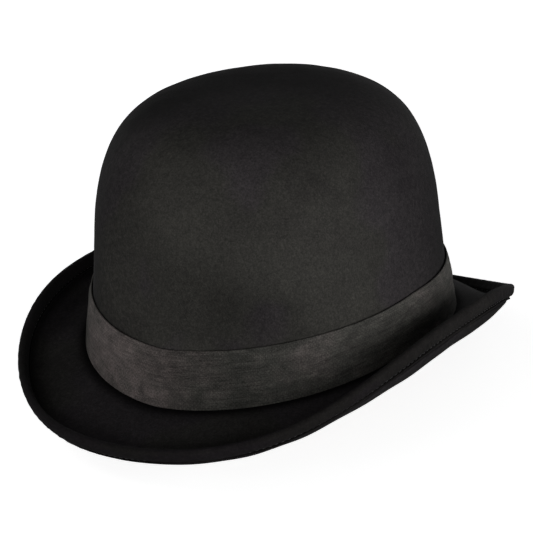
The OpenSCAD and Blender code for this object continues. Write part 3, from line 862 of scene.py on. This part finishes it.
def place_ring(name, node, slot, section, count, extra=(), crease_shade=None):
    """Sweeps section(angle) round the hat; the crease shade function marks its points with painted
    shade.
    """
    sheet = Sheet()
    angle = angles(count, extra)
    points = section(angle)
    sheet.grid(points)
    if crease_shade is not None:
        crease_shade = np.broadcast_to(crease_shade(angle), points.shape[:2])
    place(sheet.build(name, crease_shade), node, slot)


# ---------------------------------------------------------------- crown
crown_soft = space_waves(11, 55, 120, 14)
crown_fine = space_waves(12, 9, 22, 18)


def crown_unevenness(points, z):
    """Moves the cover's face along the normal of a half ellipsoid with this centre height."""
    centre_z = 30.0
    out = points - UP * centre_z
    out[..., 0] /= HALF_W ** 2
    out[..., 1] /= HALF_L ** 2
    out[..., 2] = np.where(out[..., 2] > 0, out[..., 2] / (CROWN_H - centre_z) ** 2, 0)
    amount = 0.32 * crown_soft(points) * ease(z / 0.35) + 0.05 * crown_fine(points)
    return points + unit(out) * (amount - 0.1)[..., None]


def dome(name, outer_inset, inner_inset, count, rows, uneven=None, inner_step=1):
    """A closed dome with a rounded foot; inner_step thins out the inner face's rows."""
    angle = angles(count)
    radius, z = dome_rows(SEAT / CROWN_H, rows)
    outer = crown_at(outer_inset, radius, z, angle)
    if uneven:
        outer = uneven(outer, z)
    inner = crown_at(inner_inset, radius[::inner_step], z[::inner_step], angle)
    foot = (outer[:, :1] + inner[:, :1]) / 2 - UP * 0.12
    points = np.concatenate([inner[:, ::-1], foot, outer], 1)
    sheet = Sheet()
    sheet.grid(points, wrap_cols=False)
    sheet.cap(points, -1, crown_at(outer_inset, 0.0, 1.0, 0.0))
    sheet.cap(points, 0, crown_at(inner_inset, 0.0, 1.0, 0.0))
    return sheet.build(name)


place(dome("crown_velour_cover", 0, COVER_T, count=288, rows=132, uneven=crown_unevenness,
           inner_step=2), "crown_cover", "crown_cloth")
place(dome("crown_felt_shell", COVER_T + GAP + 0.45, SHELL_IN, count=144, rows=70),
      "crown_stiffener", "stiff_shell")

# ---------------------------------------------------------------- brim
STITCH_RUN = 8.35                               # the binding's stitches, in from the tip
STITCH_COUNT = 264
UNDER_SHIFT = 0.11                              # the under face repeats the upper, turned
pucker = round_waves(41, 60, 150, 16)
sway = round_waves(42, 3, 14, 8)
brim_soft = space_waves(31, 26, 60, 14)


def bind_edge(angle):
    return BIND_W + 0.28 * sway(angle)


def stitch_line(angle):
    return STITCH_RUN + 0.28 * sway(angle)


def pulled_in(angle, run, width):
    """How far the stitches pull the layers in, 0 to 1: deepest at each stitch."""
    tug = 0.5 + 0.5 * np.cos(STITCH_COUNT * angle)
    return np.exp(-(np.abs(run - stitch_line(angle)) / width) ** 2) * (0.88 + 0.12 * tug)


def brim_sheet(name, low, high, count=360, ripple=None):
    """A sheet between two lifts. A cloth has a ripple(low face, high face, fade)."""
    angle = angles(count)
    seat_insets = np.linspace(BRIM_IN, 0, 8)[:-1][None]
    inner_end, outer_end = share_at(angle, 12.5), share_at(angle, SHEET_END)
    share = np.concatenate([
        np.linspace(0, 1, 41)[None, :-1] * inner_end,
        inner_end + (outer_end - inner_end) * np.linspace(0, 1, 32)[None]], 1)
    run = (1 - share) * tip_speed(angle)
    # the under cloth's soft pressed line beside the binding
    furrow = np.exp(-((run - 12.7 - 0.4 * sway(angle + 1.0)) / 0.80) ** 2)

    def face(lift):
        dip = 0
        if ripple and abs(lift) > STACK / 2 - 0.01:
            if lift > 0:
                dip = 0.38 * pulled_in(angle, run, 1.15)
            else:
                dip = 0.38 * pulled_in(angle + UNDER_SHIFT, run, 1.15) + 0.32 * furrow
        flat = seat_at(angle, seat_insets, lift)
        return np.concatenate([flat, brim_at(angle, share, lift - dip * np.sign(lift))], 1)

    low_face, high_face = face(low), face(high)
    crease_shade = None
    if ripple:
        nominal = np.r_[np.zeros(7), np.linspace(0, 0.80, 41)[:-1], np.linspace(0.80, 1, 32)]
        fade = ease(nominal / 0.15) * ease((1 - nominal) / 0.2)
        low_face, high_face = ripple(low_face, high_face, fade)
        # painted shade where the binding's fold and the band's foot meet the cloth and in the under
        # cloth's furrow, and a painted shadow on the brim's top beside the binding
        dark = np.exp(-(np.clip(run - bind_edge(angle) - 0.55, 0, None) / 0.9) ** 1.5)
        dark = np.maximum(dark, 0.8 * np.exp(-(share * 25 / 1.6) ** 2))
        low_dark = np.maximum(dark, 0.70 * furrow)
        high_dark = np.maximum(dark, 0.62 * np.exp(-((run - 12) / 7.0) ** 2))
        seat_dark = np.full((count, 7), 0.8)
        crease_shade = np.concatenate([seat_dark, low_dark, high_dark[:, ::-1], seat_dark], 1)
    sheet = Sheet()
    sheet.grid(np.concatenate([low_face, high_face[:, ::-1]], 1))
    return sheet.build(name, crease_shade)


def upper_ripple(low, high, fade):
    return low, high + UP * (0.16 * brim_soft(high) * fade - 0.04)[..., None]


def under_ripple(low, high, fade):
    return low + UP * (0.14 * brim_soft(low * 1.3) * fade + 0.04)[..., None], high


place(brim_sheet("brim_upper_velour", CORE_T / 2 + GAP, STACK / 2, ripple=upper_ripple),
      "brim_top_cloth", "brim_cloth")
place(brim_sheet("brim_felt_core", -CORE_T / 2, CORE_T / 2, count=180),
      "brim_core", "stiff_shell")
place(brim_sheet("brim_under_velour", -STACK / 2, -CORE_T / 2 - GAP, ripple=under_ripple),
      "brim_under_cloth", "brim_cloth")


def nose_at(angle, radius, spin):
    """A point on the arc round the brim's edge; spin 0 is its upper side."""
    return brim_at(angle, share_at(angle, NOSE_RUN), radius * np.cos(spin),
                   radius * np.sin(spin))


def cord_section(angle):
    return nose_at(angle, CORD_R, math.pi - full_circle(12))


place_ring("brim_edge_cord_round", "brim_edge_cord", "cord", cord_section, 240)


def bind_face(angle, run):
    """Outer offset of the binding: a groove at the stitches, a plump fold, a full roll."""
    fold = 0.34 * np.exp(-((run - bind_edge(angle) + 0.50) / 0.5) ** 2)
    roll = 0.42 * np.exp(-((run - 4.6) / 2.3) ** 2) + 0.16 * np.exp(-((run - 1.2) / 1.6) ** 2)
    return (BIND_OUT - 0.04 - 0.86 * pulled_in(angle, run, 0.95)
            + fold * (0.8 + 0.25 * pucker(angle)) + roll * (1 + 0.22 * pucker(angle + 0.3)))


def bind_run(angle, shares):
    """Runs at shares of the way from the nose in to the binding's edge."""
    return NOSE_RUN + (bind_edge(angle) - NOSE_RUN) * shares


def bind_half(angle, sign):
    """Outer face, rounded fold and inner face of the upper (1) or under (-1) half."""
    shifted = angle if sign > 0 else angle + UNDER_SHIFT
    run = bind_run(angle, np.linspace(0, 1, 50)[None])
    outer = edge_at(angle, run, sign * bind_face(shifted, run))
    run = bind_run(angle, np.linspace(1, 0, 20)[None])
    inner = edge_at(angle, run, sign * (BIND_IN - 0.38 * pulled_in(shifted, run, 1.15)))
    spin = arc(0, math.pi, 7, trim=1)
    edge = bind_edge(angle)
    lift = bind_face(shifted, edge)
    middle, radius = (lift + BIND_IN) / 2, (lift - BIND_IN) / 2
    fold = edge_at(angle, edge + radius * np.sin(spin), sign * (middle + radius * np.cos(spin)))
    return outer, fold, inner


def bind_section(angle):
    """Under face out to the nose, round it, upper face in, fold, inner run out and back, fold."""
    upper, upper_fold, upper_inner = bind_half(angle, 1)
    under, under_fold, under_inner = bind_half(angle, -1)
    spin = arc(0, math.pi, 19, trim=1)
    start = bind_face(angle, NOSE_RUN)
    end = bind_face(angle + UNDER_SHIFT, NOSE_RUN)
    nose = nose_at(angle, start + (end - start) * spin / math.pi, spin)
    nose_inner = nose_at(angle, BIND_IN, arc(0, math.pi, 9, trim=1))
    return np.concatenate([under[:, ::-1], nose[:, ::-1], upper, upper_fold, upper_inner,
                           nose_inner, under_inner[:, ::-1], under_fold[:, ::-1]], 1)


def bind_crease_shade(angle):
    """Follows bind_section: painted shade in the stitched groove and where the fold meets the brim.
    """
    run = bind_run(angle, np.linspace(0, 1, 50)[None])
    groove = np.exp(-((run - stitch_line(angle)) / 0.95) ** 2) * 0.85
    fold = np.broadcast_to(arc(0.1, 1, 7, trim=1), (len(angle), 5))
    nose, inner = np.zeros((len(angle), 17)), np.zeros((len(angle), 20 + 7 + 20))
    return np.concatenate([groove[:, ::-1], nose, groove, fold, inner, fold[:, ::-1]], 1)


place_ring("brim_edge_binding", "brim_binding", "binding_cloth", bind_section, 792,
           crease_shade=bind_crease_shade)


def upper_stitches(angle, lift):
    run = stitch_line(angle)
    return edge_at(angle, run, bind_face(angle, run) - 0.02 + lift)


def under_stitches(angle, lift):
    run = stitch_line(angle)
    return edge_at(angle, run, -(bind_face(angle + UNDER_SHIFT, run) - 0.02 + lift))


stitches = Sheet()
for line in (upper_stitches, under_stitches):
    add_stitch_round(stitches, line, STITCH_COUNT, length=2.5, radius=0.16, jitter=0.02)
place(stitches.build("binding_thread_rows"), "binding_stitching", "dark_thread")

# ---------------------------------------------------------------- hatband
BAND_FOOT, BAND_FOLD = 0.012, 0.985             # height shares of the outer face's ends
# inner face down from the fold: standing-off from the crown, height share
BAND_INNER = np.array([(0.42, 0.95), (0.45, 0.93), (0.3, 0.78), (PROUD - 1.05, 0.74),
                       (PROUD - 1.05, 0.5), (PROUD - 1.05, 0.27), (0.3, 0.23), (0.3, 0.05)]).T
band_wobble = round_waves(51, 2, 9, 8)
band_pull = round_waves(52, 7, 24, 12)
band_soft = space_waves(53, 14, 40, 14)


def lap(angle):
    """One layer more over the lapped end: a crisp fold, pressed flat again 14 mm on."""
    run = arc_from(angle, LAP)
    return 0.75 / (1 + np.exp(-np.clip(run / 0.16, -40, 40))) * (1 - ease((run - 11) / 3.5))


def band_top(angle):
    dip = 0.45 * np.exp(-(arc_from(angle, math.radians(-86)) / 9) ** 2)
    return BAND_H - 0.05 + 0.22 * band_wobble(angle) - dip


def band_off(angle, share):
    """Standing-off of the band's outer face at a share of its height."""
    hems = 0.10 * (np.exp(-((share - 0.93) / 0.04) ** 2) + np.exp(-((share - 0.06) / 0.04) ** 2))
    dips = 0.16 * (np.exp(-((share - 0.80) / 0.035) ** 2)
                   + np.exp(-((share - 0.19) / 0.035) ** 2))
    snug = -0.95 * ease((share - 0.72) / 0.28) - 0.25 * ease((0.25 - share) / 0.25)
    spot = np.stack(np.broadcast_arrays(BAND_HALF_W * np.cos(angle), BAND_HALF_L * np.sin(angle),
                                        3.2 * share * BAND_H), -1)
    crumple = 0.14 * band_soft(spot) * ease(share * 5) * ease((1 - share) * 5)
    pull = 0.10 * band_pull(angle + share * 0.15) * ease(share * 4) * ease((1 - share) * 5)
    return PROUD - 0.08 + snug + hems - dips + crumple + pull + lap(angle)


def band_section(angle):
    top = band_top(angle)
    share = np.linspace(BAND_FOOT, BAND_FOLD, 64)[None]
    outer = wall_at(-band_off(angle, share), share * top, angle)

    def fold(share, radius, rise, spin):
        middle = band_off(angle, np.array(share)) - radius
        return wall_at(-(middle + radius * np.cos(spin)), share * top + rise * np.sin(spin),
                       angle)

    upper = fold(BAND_FOLD, 0.48, 0.42, arc(0, math.pi, 9, trim=1))
    inner = wall_at(-BAND_INNER[0], BAND_INNER[1] * top, angle)
    foot = fold(BAND_FOOT, 0.8, 0.25, arc(math.pi, TURN, 7, trim=1))
    return np.concatenate([outer, upper, inner, foot], 1)


def band_crease_shade(angle):
    """Painted shade where the lapped end's fold meets the layer under it."""
    return 0.9 * np.exp(-((arc_from(angle, LAP) + 0.30) / 0.42) ** 2)


place_ring("hatband_self_cloth", "hatband", "band_cloth", band_section, 540,
           extra=LAP + np.linspace(-0.02, 0.02, 41), crease_shade=band_crease_shade)


def lap_tacks():
    """Short stitches across the lapped end, one above the other."""
    heights = np.array([3.2, 6.6, 10.0, 13.4, 16.8, 20.2, 23.6, 26.6])[:, None]
    # the ends dive in, more on the side off the lap
    dive = 0.35 * np.abs(STITCH) ** 2.5 + np.where(STITCH < 0, 0.68, 0) * ease(-STITCH * 1.6)
    off = PROUD + 0.72 - dive
    angle = LAP + 0.001 + STITCH * 0.009
    path = wall_at(-off, heights + STITCH * 0.5, angle)
    above = wall_at(-(off + 0.3), heights + STITCH * 0.5, angle)
    sheet = Sheet()
    add_threads(sheet, path, unit(above - path), radius=0.2)
    return sheet.build("hatband_lap_tacks")


place(lap_tacks(), "hatband_tacks", "dark_thread")

# ---------------------------------------------------------------- head opening seam
stitches = Sheet()
add_stitch_round(stitches,
                 lambda angle, lift: seat_at(angle, BRIM_IN - 2.2, -STACK / 2 - 0.06 - lift),
                 186, length=2.5, radius=0.18)
place(stitches.build("headsize_thread_row"), "headsize_stitching", "dark_thread")

# ---------------------------------------------------------------- sweatband, reed and tape
sweat_wave = round_waves(61, 3, 13, 8)


def sweat_section(angle):
    """Outer side up, over the edge, inner side down."""
    top = SWEAT_H - 0.1 + 0.25 * sweat_wave(angle)
    share = np.linspace(0, 1, 30)[None]
    height = (REED_H + REED_R + 0.2) * (1 - share) + top * share
    # the upper edge stands a little in
    sway_in = 0.6 + 0.5 * sweat_wave(angle + 1.0)
    lean = 0.35 * ease((height - 8) / 20) * sway_in
    bead = (0.16 * np.exp(-((height - top + 1.7) / 0.8) ** 2)
            - 0.13 * np.exp(-((height - top + 3.1) / 0.45) ** 2))
    inner = wall_at(SWEAT_FACE - 0.05 + lean + bead, height, angle)
    outer = wall_at(SWEAT_IN + 0.05 + lean * 0.9, height, angle)
    spin = arc(0, math.pi, 6, trim=1)
    radius = SWEAT_T / 2
    edge = wall_at(SWEAT_IN + radius + 0.33 * sway_in - radius * np.cos(spin),
                   top + radius * 0.8 * np.sin(spin), angle)
    return np.concatenate([outer, edge, inner[:, ::-1]], 1)


place_ring("sweatband_leather_strip", "sweatband", "sweatband_leather", sweat_section, 300)


def round_reed(angle, radius, spin):
    return wall_at(SWEAT_MID - radius * np.cos(spin), REED_H + radius * np.sin(spin), angle)


def reed_section(angle):
    return round_reed(angle, REED_R, full_circle(12))


place_ring("sweatband_reed_rod", "sweatband_reed", "reed", reed_section, 180)
TAPE_IN = (REED_R + 0.12) / math.cos(math.radians(22.5))
TAPE_OUT = TAPE_IN + 0.35


def tape_section(angle):
    """A trough under the reed, with a lip up each side of the sweatband."""
    spin = arc(math.pi, TURN, 13, trim=1)
    inner_lip = np.linspace(1.4, REED_H, 6)[None]
    outer_lip = np.linspace(REED_H, 3, 6)[None]
    return np.concatenate([
        wall_at(SWEAT_MID + TAPE_OUT - 0.10 + 0.03 * np.cos(130 * angle), inner_lip, angle),
        round_reed(angle, TAPE_OUT, spin),
        wall_at(SWEAT_MID - TAPE_OUT, outer_lip, angle),
        wall_at(SWEAT_MID - TAPE_IN, outer_lip[:, ::-1], angle),
        round_reed(angle, TAPE_IN, spin[:, ::-1]),
        wall_at(SWEAT_MID + TAPE_IN, inner_lip[:, ::-1], angle)], 1)


place_ring("reed_woven_tape", "reed_tape", "tape", tape_section, 260)
stitches = Sheet()
add_stitch_round(stitches, lambda angle, lift: wall_at(SWEAT_MID + TAPE_OUT + lift, 0.4, angle),
                 190, length=2.3, radius=0.17, gap=(LABEL_AT, math.radians(9.5)))
place(stitches.build("sweatband_thread_row"), "sweatband_stitching", "light_thread")

# ---------------------------------------------------------------- lining
pleat = round_waves(71, 40, 74, 14)
fine_pleat = round_waves(72, 90, 150, 14)
fall = round_waves(73, 5, 15, 8)


def lining_section(angle):
    z = np.linspace(6 / CROWN_H, profile_z(SEAM_AT - 0.35), 60)[None]
    loose = ease((z - 0.30) / 0.35)
    near_seam = ease((z - 0.55) / 0.30)
    fold = (0.62 * pleat(angle + 0.02 * z) * near_seam + 0.38 * fine_pleat(angle) * near_seam ** 2
            + 0.5 * fall(angle) * loose)
    inset = LINING_IN + SLACK * ease((z - 0.28) / 0.3) + np.maximum(0, 0.15 + fold) * loose
    return np.concatenate([dome_at(inset, z, angle),
                           dome_at(inset + LINING_T, z, angle)[:, ::-1]], 1)


place_ring("lining_satin_side", "lining_side", "satin", lining_section, 720)


def lining_tip():
    """The lining's gathered top, hanging in folds from the seam."""
    angle = angles(480)
    radius, z = dome_rows(profile_z(SEAM_AT + 0.5), 44)
    near_seam = np.clip((radius - 0.35) / 0.45, 0, 1)
    fold = (0.55 * pleat(angle) * near_seam ** 2 + 0.3 * fine_pleat(angle) * near_seam ** 4
            + 0.5 * fall(angle) * np.sin(math.pi * np.clip(radius / 0.8, 0, 1)))
    hang = np.maximum(0, 0.12 + fold)[..., None] * UP * 0.8
    outer = crown_at(LINING_TOP, radius, z, angle) - hang
    inner = crown_at(LINING_TOP + LINING_T, radius, z, angle) - hang
    points = np.concatenate([inner[:, ::-1], outer], 1)
    sheet = Sheet()
    sheet.grid(points, wrap_cols=False)
    sheet.cap(points, -1, crown_at(LINING_TOP, 0.0, 1.0, 0.0) - UP * 0.1)
    sheet.cap(points, 0, crown_at(LINING_TOP + LINING_T, 0.0, 1.0, 0.0) - UP * 0.1)
    return sheet.build("lining_satin_tip")


place(lining_tip(), "lining_tip", "satin")


def piping_section(angle):
    centre = dome_at(LINING_TOP + LINING_T + 1.0, profile_z(SEAM_AT), angle)
    out = unit(centre * np.array([1, 1, 0]))
    spin = full_circle(14)[..., None]
    radius = 0.7 + 0.05 * np.cos(3 * spin + angle[..., None] * 160)
    return centre + radius * (np.cos(spin) * out + np.sin(spin) * UP)


place_ring("lining_seam_piping", "lining_piping", "satin", piping_section, 720)


def blank_patch():
    """An oval disc under the crown's top, with a turned edge."""
    half_w, half_l, thick = 24, 30, 0.62
    angle = angles(160)
    top_z = CROWN_H - LINING_TOP - LINING_T - 2.35
    share = np.r_[np.linspace(0.04, 0.9, 16), 0.93, 0.955, 0.975, 0.99, 1.0][None]
    drop = (thick - 0.10 * np.exp(-((share - 0.93) / 0.02) ** 2)
            - 0.28 * np.clip((share - 0.97) / 0.03, 0, 1) ** 2)

    def face(z):
        return np.stack(np.broadcast_arrays(half_w * share * np.cos(angle),
                                            LEAN + half_l * share * np.sin(angle), z), -1)

    points = np.concatenate([face(top_z - drop), face(top_z)[:, ::-1]], 1)
    plan = points[..., :2]
    sheet = Sheet()
    sheet.grid(points, wrap_cols=False, uv=np.concatenate([plan, plan[:1]]))
    sheet.cap(points, 0, np.array([0, LEAN, top_z - thick]))
    sheet.cap(points, -1, np.array([0, LEAN, top_z]))
    return sheet.build("lining_blank_patch")


place(blank_patch(), "lining_patch", "patch")

# ---------------------------------------------------------------- bow inside the back
RIBBON_T = 0.32
BOW_H = 15.0
# ribbon profile: share of the width, side of the ribbon
RIBBON_PROFILE = [(-0.5, 1), (-0.25, 1), (0, 1), (0.25, 1), (0.5, 1),
                  (0.5, -1), (0.25, -1), (0, -1), (-0.25, -1), (-0.5, -1)]
# knot profile: x, inset
KNOT_PROFILE = np.array([(-1.7, 0.12), (-1.5, 0), (-0.6, 0.10), (0.5, 0), (1.5, 0.02),
                         (1.7, 0.14), (1.5, 0.42), (-1.5, 0.42)]).T


def add_ribbon(sheet, path, across, width, normal):
    """A ribbon with closed ends along path, thinner at its edges."""
    points = np.stack([
        path + across * (width * share)[:, None]
        + normal * (face * RIBBON_T / 2 * (0.75 if abs(share) == 0.5 else 1.0))
        for share, face in RIBBON_PROFILE], 1)
    start = sheet.count
    sheet.grid(points, wrap_rows=False)
    steps, cols = points.shape[:2]
    sheet.add_faces(np.array([start + np.arange(cols)]))
    sheet.add_faces(np.array([start + (steps - 1) * cols + np.arange(cols)[::-1]]))


def signed_power(values, power):
    return np.sign(values) * np.abs(values) ** power


def ribbon_bow():
    sheet = Sheet()
    for hand in (-1, 1):
        # loop
        spin = np.linspace(0.0, TURN, 60)
        half_sin = np.sin(spin / 2)
        reach = 1.2 + 6.4 * (1 - np.cos(spin))
        depth = 1.05 * np.sin(spin) * np.clip(half_sin, 0.25, 1)
        path = np.stack([hand * reach, -1.55 - depth - 0.00918 * reach ** 2, 0.55 * half_sin], -1)
        tangent = unit(np.gradient(path, axis=0))
        width = 3.2 + 4.2 * np.clip(half_sin, 0, 1) ** 0.6
        add_ribbon(sheet, path, UP, width, unit(np.cross(tangent, UP)))
        # tail
        share = np.linspace(0, 1, 16)
        path = np.stack([hand * (1.0 + 10.5 * share),
                         -0.85 - 0.7 * share ** 2 - 0.6 * share * (1 - share),
                         -0.6 - 5.6 * share ** 1.15], -1)
        tangent = unit(np.gradient(path, axis=0))
        across = np.cross(np.array([0, 1.0, 0]), tangent)
        add_ribbon(sheet, path, across, 3.0 + 2.2 * share, np.cross(tangent, across))
    # knot
    spin = full_circle(28).T
    x, inset = KNOT_PROFILE
    y = -1.75 + 1.35 * signed_power(np.cos(spin), 0.7) * (1 - inset / 1.6)
    z = 2.75 * signed_power(np.sin(spin), 0.8) * (1 - inset / 2.8)
    sheet.grid(np.stack(np.broadcast_arrays(x, y, z), -1))
    obj = sheet.build("sweatband_ribbon_bow")
    back = math.pi / 2
    spot = Vector((0, float(wall_at(SWEAT_FACE, BOW_H, back)[1]), BOW_H + float(base_z(back))))
    obj.data.transform(Matrix.Translation(spot * MM) @ Matrix.Rotation(math.radians(8), 4, "X"))
    return obj


place(ribbon_bow(), "sweatband_bow", "ribbon")

# ---------------------------------------------------------------- care label, sewn at its foot
LABEL_W, LABEL_H = 22, 30
LABEL_HALF = LABEL_W / 2


def label_matrix():
    """Stands the label against the sweatband's inner face, its -X side to the hat's middle."""
    foot = wall_at(SWEAT_FACE, 3.6, LABEL_AT)
    top = wall_at(SWEAT_FACE, 32.0, LABEL_AT)
    out = unit(np.array([math.cos(LABEL_AT) / HALF_W, math.sin(LABEL_AT) / HALF_L, 0]))
    lean = math.atan2(np.linalg.norm((foot - top)[:2]), (top - foot)[2]) + math.radians(1)
    # clear of the band's curve (radius 86) over the label's width
    clear = 1.5 + LABEL_W * LABEL_W / 8 / 86
    return (Matrix.Translation(Vector(foot - clear * out) * MM)
            @ Matrix.Rotation(math.atan2(out[1], out[0]), 4, "Z")
            @ Matrix.Rotation(-lean, 4, "Y"))


def care_label():
    """A blank woven strip, slightly curled, its upper corners trimmed."""
    cols, rows = 45, 61
    y, z = np.meshgrid(np.linspace(-LABEL_HALF, LABEL_HALF, cols), np.linspace(0, LABEL_H, rows),
                       indexing="ij")
    cut = np.clip(z - 28, 0, None) * 0.9
    y = y * (LABEL_HALF - cut * (np.abs(y) / LABEL_HALF)) / LABEL_HALF
    curl = (0.10 * np.sin(y / 3.1 + z / 9) * ease(z / 6)
            + 0.175 * ease((z - 16) / 14) * (y / LABEL_HALF) ** 2)
    x = -curl - 0.02
    hem = 0.05 * (np.abs(np.abs(y) - 10.2) < 0.9)
    front = np.stack([x - 0.12 - hem, y, z], -1)
    rear = np.stack([x + 0.12, y, z], -1)
    sheet = Sheet()
    sheet.grid(np.concatenate([front, rear[::-1]], 0).transpose(1, 0, 2), wrap_rows=False)
    i = np.arange(cols - 1)
    end = np.stack([i, i + 1, 2 * cols - 2 - i, 2 * cols - 1 - i], -1)
    sheet.add_faces(end)
    sheet.add_faces(((rows - 1) * 2 * cols + end)[:, ::-1])
    return sheet.build("care_label_blank")


label_place = label_matrix()
label = care_label()
label.data.transform(label_place)
label.data.materials.append(MATERIALS["label"])
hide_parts("care_label")
if HAS_LABEL:
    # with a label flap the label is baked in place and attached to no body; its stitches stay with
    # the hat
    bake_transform(label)
else:
    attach(label, HAT)


def label_stitches():
    middles = -9.6 + np.arange(7)[:, None] * 2.85
    path = np.stack(np.broadcast_arrays(-0.28 + 0.25 * np.abs(STITCH) ** 2.5,
                                        middles + STITCH * 1.1, -0.25), -1)
    sheet = Sheet()
    add_threads(sheet, path, np.broadcast_to([-1.0, 0, 0], path.shape), radius=0.17)
    obj = sheet.build("care_label_thread")
    obj.data.transform(label_place)
    return obj


place(label_stitches(), "care_label_stitches", "light_thread")


# ---------------------------------------------------------------- floor and world
def floor_paper():
    """White paper, blown out for the camera only, and open from below and to shadow rays."""
    mat = Shader("floor_paper")
    mat.surface(Base_Color=(0.88, 0.88, 0.88, 1), Roughness=0.95, Specular_IOR_Level=0.05,
                Emission_Color=(1, 1, 1, 1))
    rays = mat.node("ShaderNodeLightPath").outputs
    geometry = mat.node("ShaderNodeNewGeometry").outputs
    radius = mat.node("ShaderNodeVectorMath", {0: mat.obj}, operation="LENGTH").outputs["Value"]
    glow = mat.remap(radius, (0.45, 1.3), (0.80, 1.0))
    mat.surface(Emission_Strength=mat.times(rays["Is Camera Ray"], glow))
    clear = mat.node("ShaderNodeBsdfTransparent").outputs[0]
    is_open = mat.math("MAXIMUM", geometry["Backfacing"], rays["Is Shadow Ray"])
    pick = mat.node("ShaderNodeMixShader",
                    {0: is_open, 1: mat.principled.outputs[0], 2: clear}).outputs[0]
    mat.feed(mat.output.inputs["Surface"], pick)
    return mat.material


def add_floor(half=3.0, drop=0.0003):
    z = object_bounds()[0].z - drop
    mesh = bpy.data.meshes.new("studio_floor")
    mesh.from_pydata([(-half, -half, z), (half, -half, z), (half, half, z), (-half, half, z)],
                     [], [(0, 1, 2, 3)])
    floor = link_object("studio_floor", mesh)
    mesh.materials.append(floor_paper())


def add_world(fill=0.045):
    """White for the camera, and only a weak fill for all other rays."""
    world = bpy.data.worlds.new("studio")
    bpy.context.scene.world = world
    world.use_nodes = True
    tree = world.node_tree
    background = tree.nodes["Background"]
    background.inputs[0].default_value = (1.0, 1.0, 1.0, 1)
    rays = tree.nodes.new("ShaderNodeLightPath")
    strength = tree.nodes.new("ShaderNodeMath")
    strength.operation = "MULTIPLY_ADD"
    tree.links.new(rays.outputs["Is Camera Ray"], strength.inputs[0])
    strength.inputs[1].default_value = 1 - fill
    strength.inputs[2].default_value = fill
    tree.links.new(strength.outputs[0], background.inputs[1])


add_floor()
add_world()

# ---------------------------------------------------------------- camera
CAMERA_AROUND = math.radians(35.877)            # from the hat's front towards the wearer's left
CAMERA_UP = math.radians(23.352)
CAMERA_ROLL = math.radians(-3.181)
CAMERA_DISTANCE = 1.69634
CAMERA_LENS = 212.43809
AIM_LEFT, AIM_UP = 0.0017601066, 0.016647569    # slopes off the line to the origin

to_camera = Vector((math.sin(CAMERA_AROUND) * math.cos(CAMERA_UP),
                    -math.cos(CAMERA_AROUND) * math.cos(CAMERA_UP), math.sin(CAMERA_UP)))
camera_right = Vector((math.cos(CAMERA_AROUND), math.sin(CAMERA_AROUND), 0))


def add_camera():
    level_up = to_camera.cross(camera_right)
    rolled_right = camera_right * math.cos(CAMERA_ROLL) + level_up * math.sin(CAMERA_ROLL)
    rolled_up = level_up * math.cos(CAMERA_ROLL) - camera_right * math.sin(CAMERA_ROLL)
    forward = (-to_camera - rolled_right * AIM_LEFT + rolled_up * AIM_UP).normalized()
    right = (rolled_right - forward * rolled_right.dot(forward)).normalized()
    columns = (right, right.cross(forward), -forward, to_camera * CAMERA_DISTANCE)
    camera = link_object("camera", bpy.data.cameras.new("camera"))
    camera.data.sensor_width = 36.0
    camera.data.lens = CAMERA_LENS
    camera.data.clip_start = 0.05
    camera.data.clip_end = 20
    camera.matrix_world = Matrix([[column[i] for column in columns] for i in range(3)]
                                 + [[0, 0, 0, 1]])
    bpy.context.scene.camera = camera


add_camera()


# ---------------------------------------------------------------- lights
def square_light(name, location, target, size, power):
    light = bpy.data.lights.new(name, "AREA")
    light.shape = "RECTANGLE"
    light.size = light.size_y = size
    light.energy = power
    obj = link_object(name, light)
    obj.location = location
    obj.rotation_mode = "QUATERNION"
    obj.rotation_quaternion = (target - location).to_track_quat("-Z", "Y")
    return obj


# Low boxes on the camera's side, weak ones behind. Columns: name, degrees round from the
# camera (to its right), degrees up, watts.
SOFT_BOXES = [
    ("front_left", -20, 3, 10.0), ("front", 10, 3, 2.0), ("front_right", 40, 3, 5.5),
    ("side_right", 75, 4, 15.5), ("left", -50, 16, 3.6), ("side_left", -95, 40, 3.4),
    ("back_left", -150, 6, 5.0), ("back_right", 155, 6, 5.0)]
BOX_SIZE, BOX_DISTANCE = 0.9, 1.7
BOX_TARGET = Vector((0, 0, 0.05))

toward_camera = Vector((to_camera.x, to_camera.y, 0)).normalized()
for name, around, above, power in SOFT_BOXES:
    around, above = math.radians(around), math.radians(above)
    level = toward_camera * math.cos(around) + camera_right * math.sin(around)
    heading = level * math.cos(above) + Vector((0, 0, math.sin(above)))
    square_light(name, BOX_TARGET + heading * BOX_DISTANCE, BOX_TARGET, BOX_SIZE, power)

INSIDE = ["lining_satin_side", "lining_satin_tip", "lining_seam_piping", "lining_blank_patch",
          "sweatband_leather_strip", "sweatband_ribbon_bow", "sweatband_thread_row",
          "care_label_blank", "care_label_thread", "reed_woven_tape"]
# Lights up through the open floor, on the listed pieces only.
# Columns: name, place, size, watts, pieces.
UNDER_LIGHTS = [
    ("under_inside", (0.25, -0.35, -0.9), 0.5, 9.0, INSIDE),
    ("under_inside_2", (-0.35, 0.25, -0.8), 0.5, 5.0, INSIDE),
    ("under_brim", (-0.1, 0.25, -1.0), 0.8, 3.0, ["brim_under_velour", "headsize_thread_row"])]
for name, location, size, power, pieces in UNDER_LIGHTS:
    lamp = square_light(name, Vector(location), Vector((0, 0, 0.03)), size, power)
    receivers = bpy.data.collections.new(name + "_receivers")
    for piece in pieces:
        receivers.objects.link(bpy.data.objects[piece])
    lamp.light_linking.receiver_collection = receivers

view = bpy.context.scene.view_settings
view.view_transform = "Standard"
view.look = "None"
view.exposure = 0.0
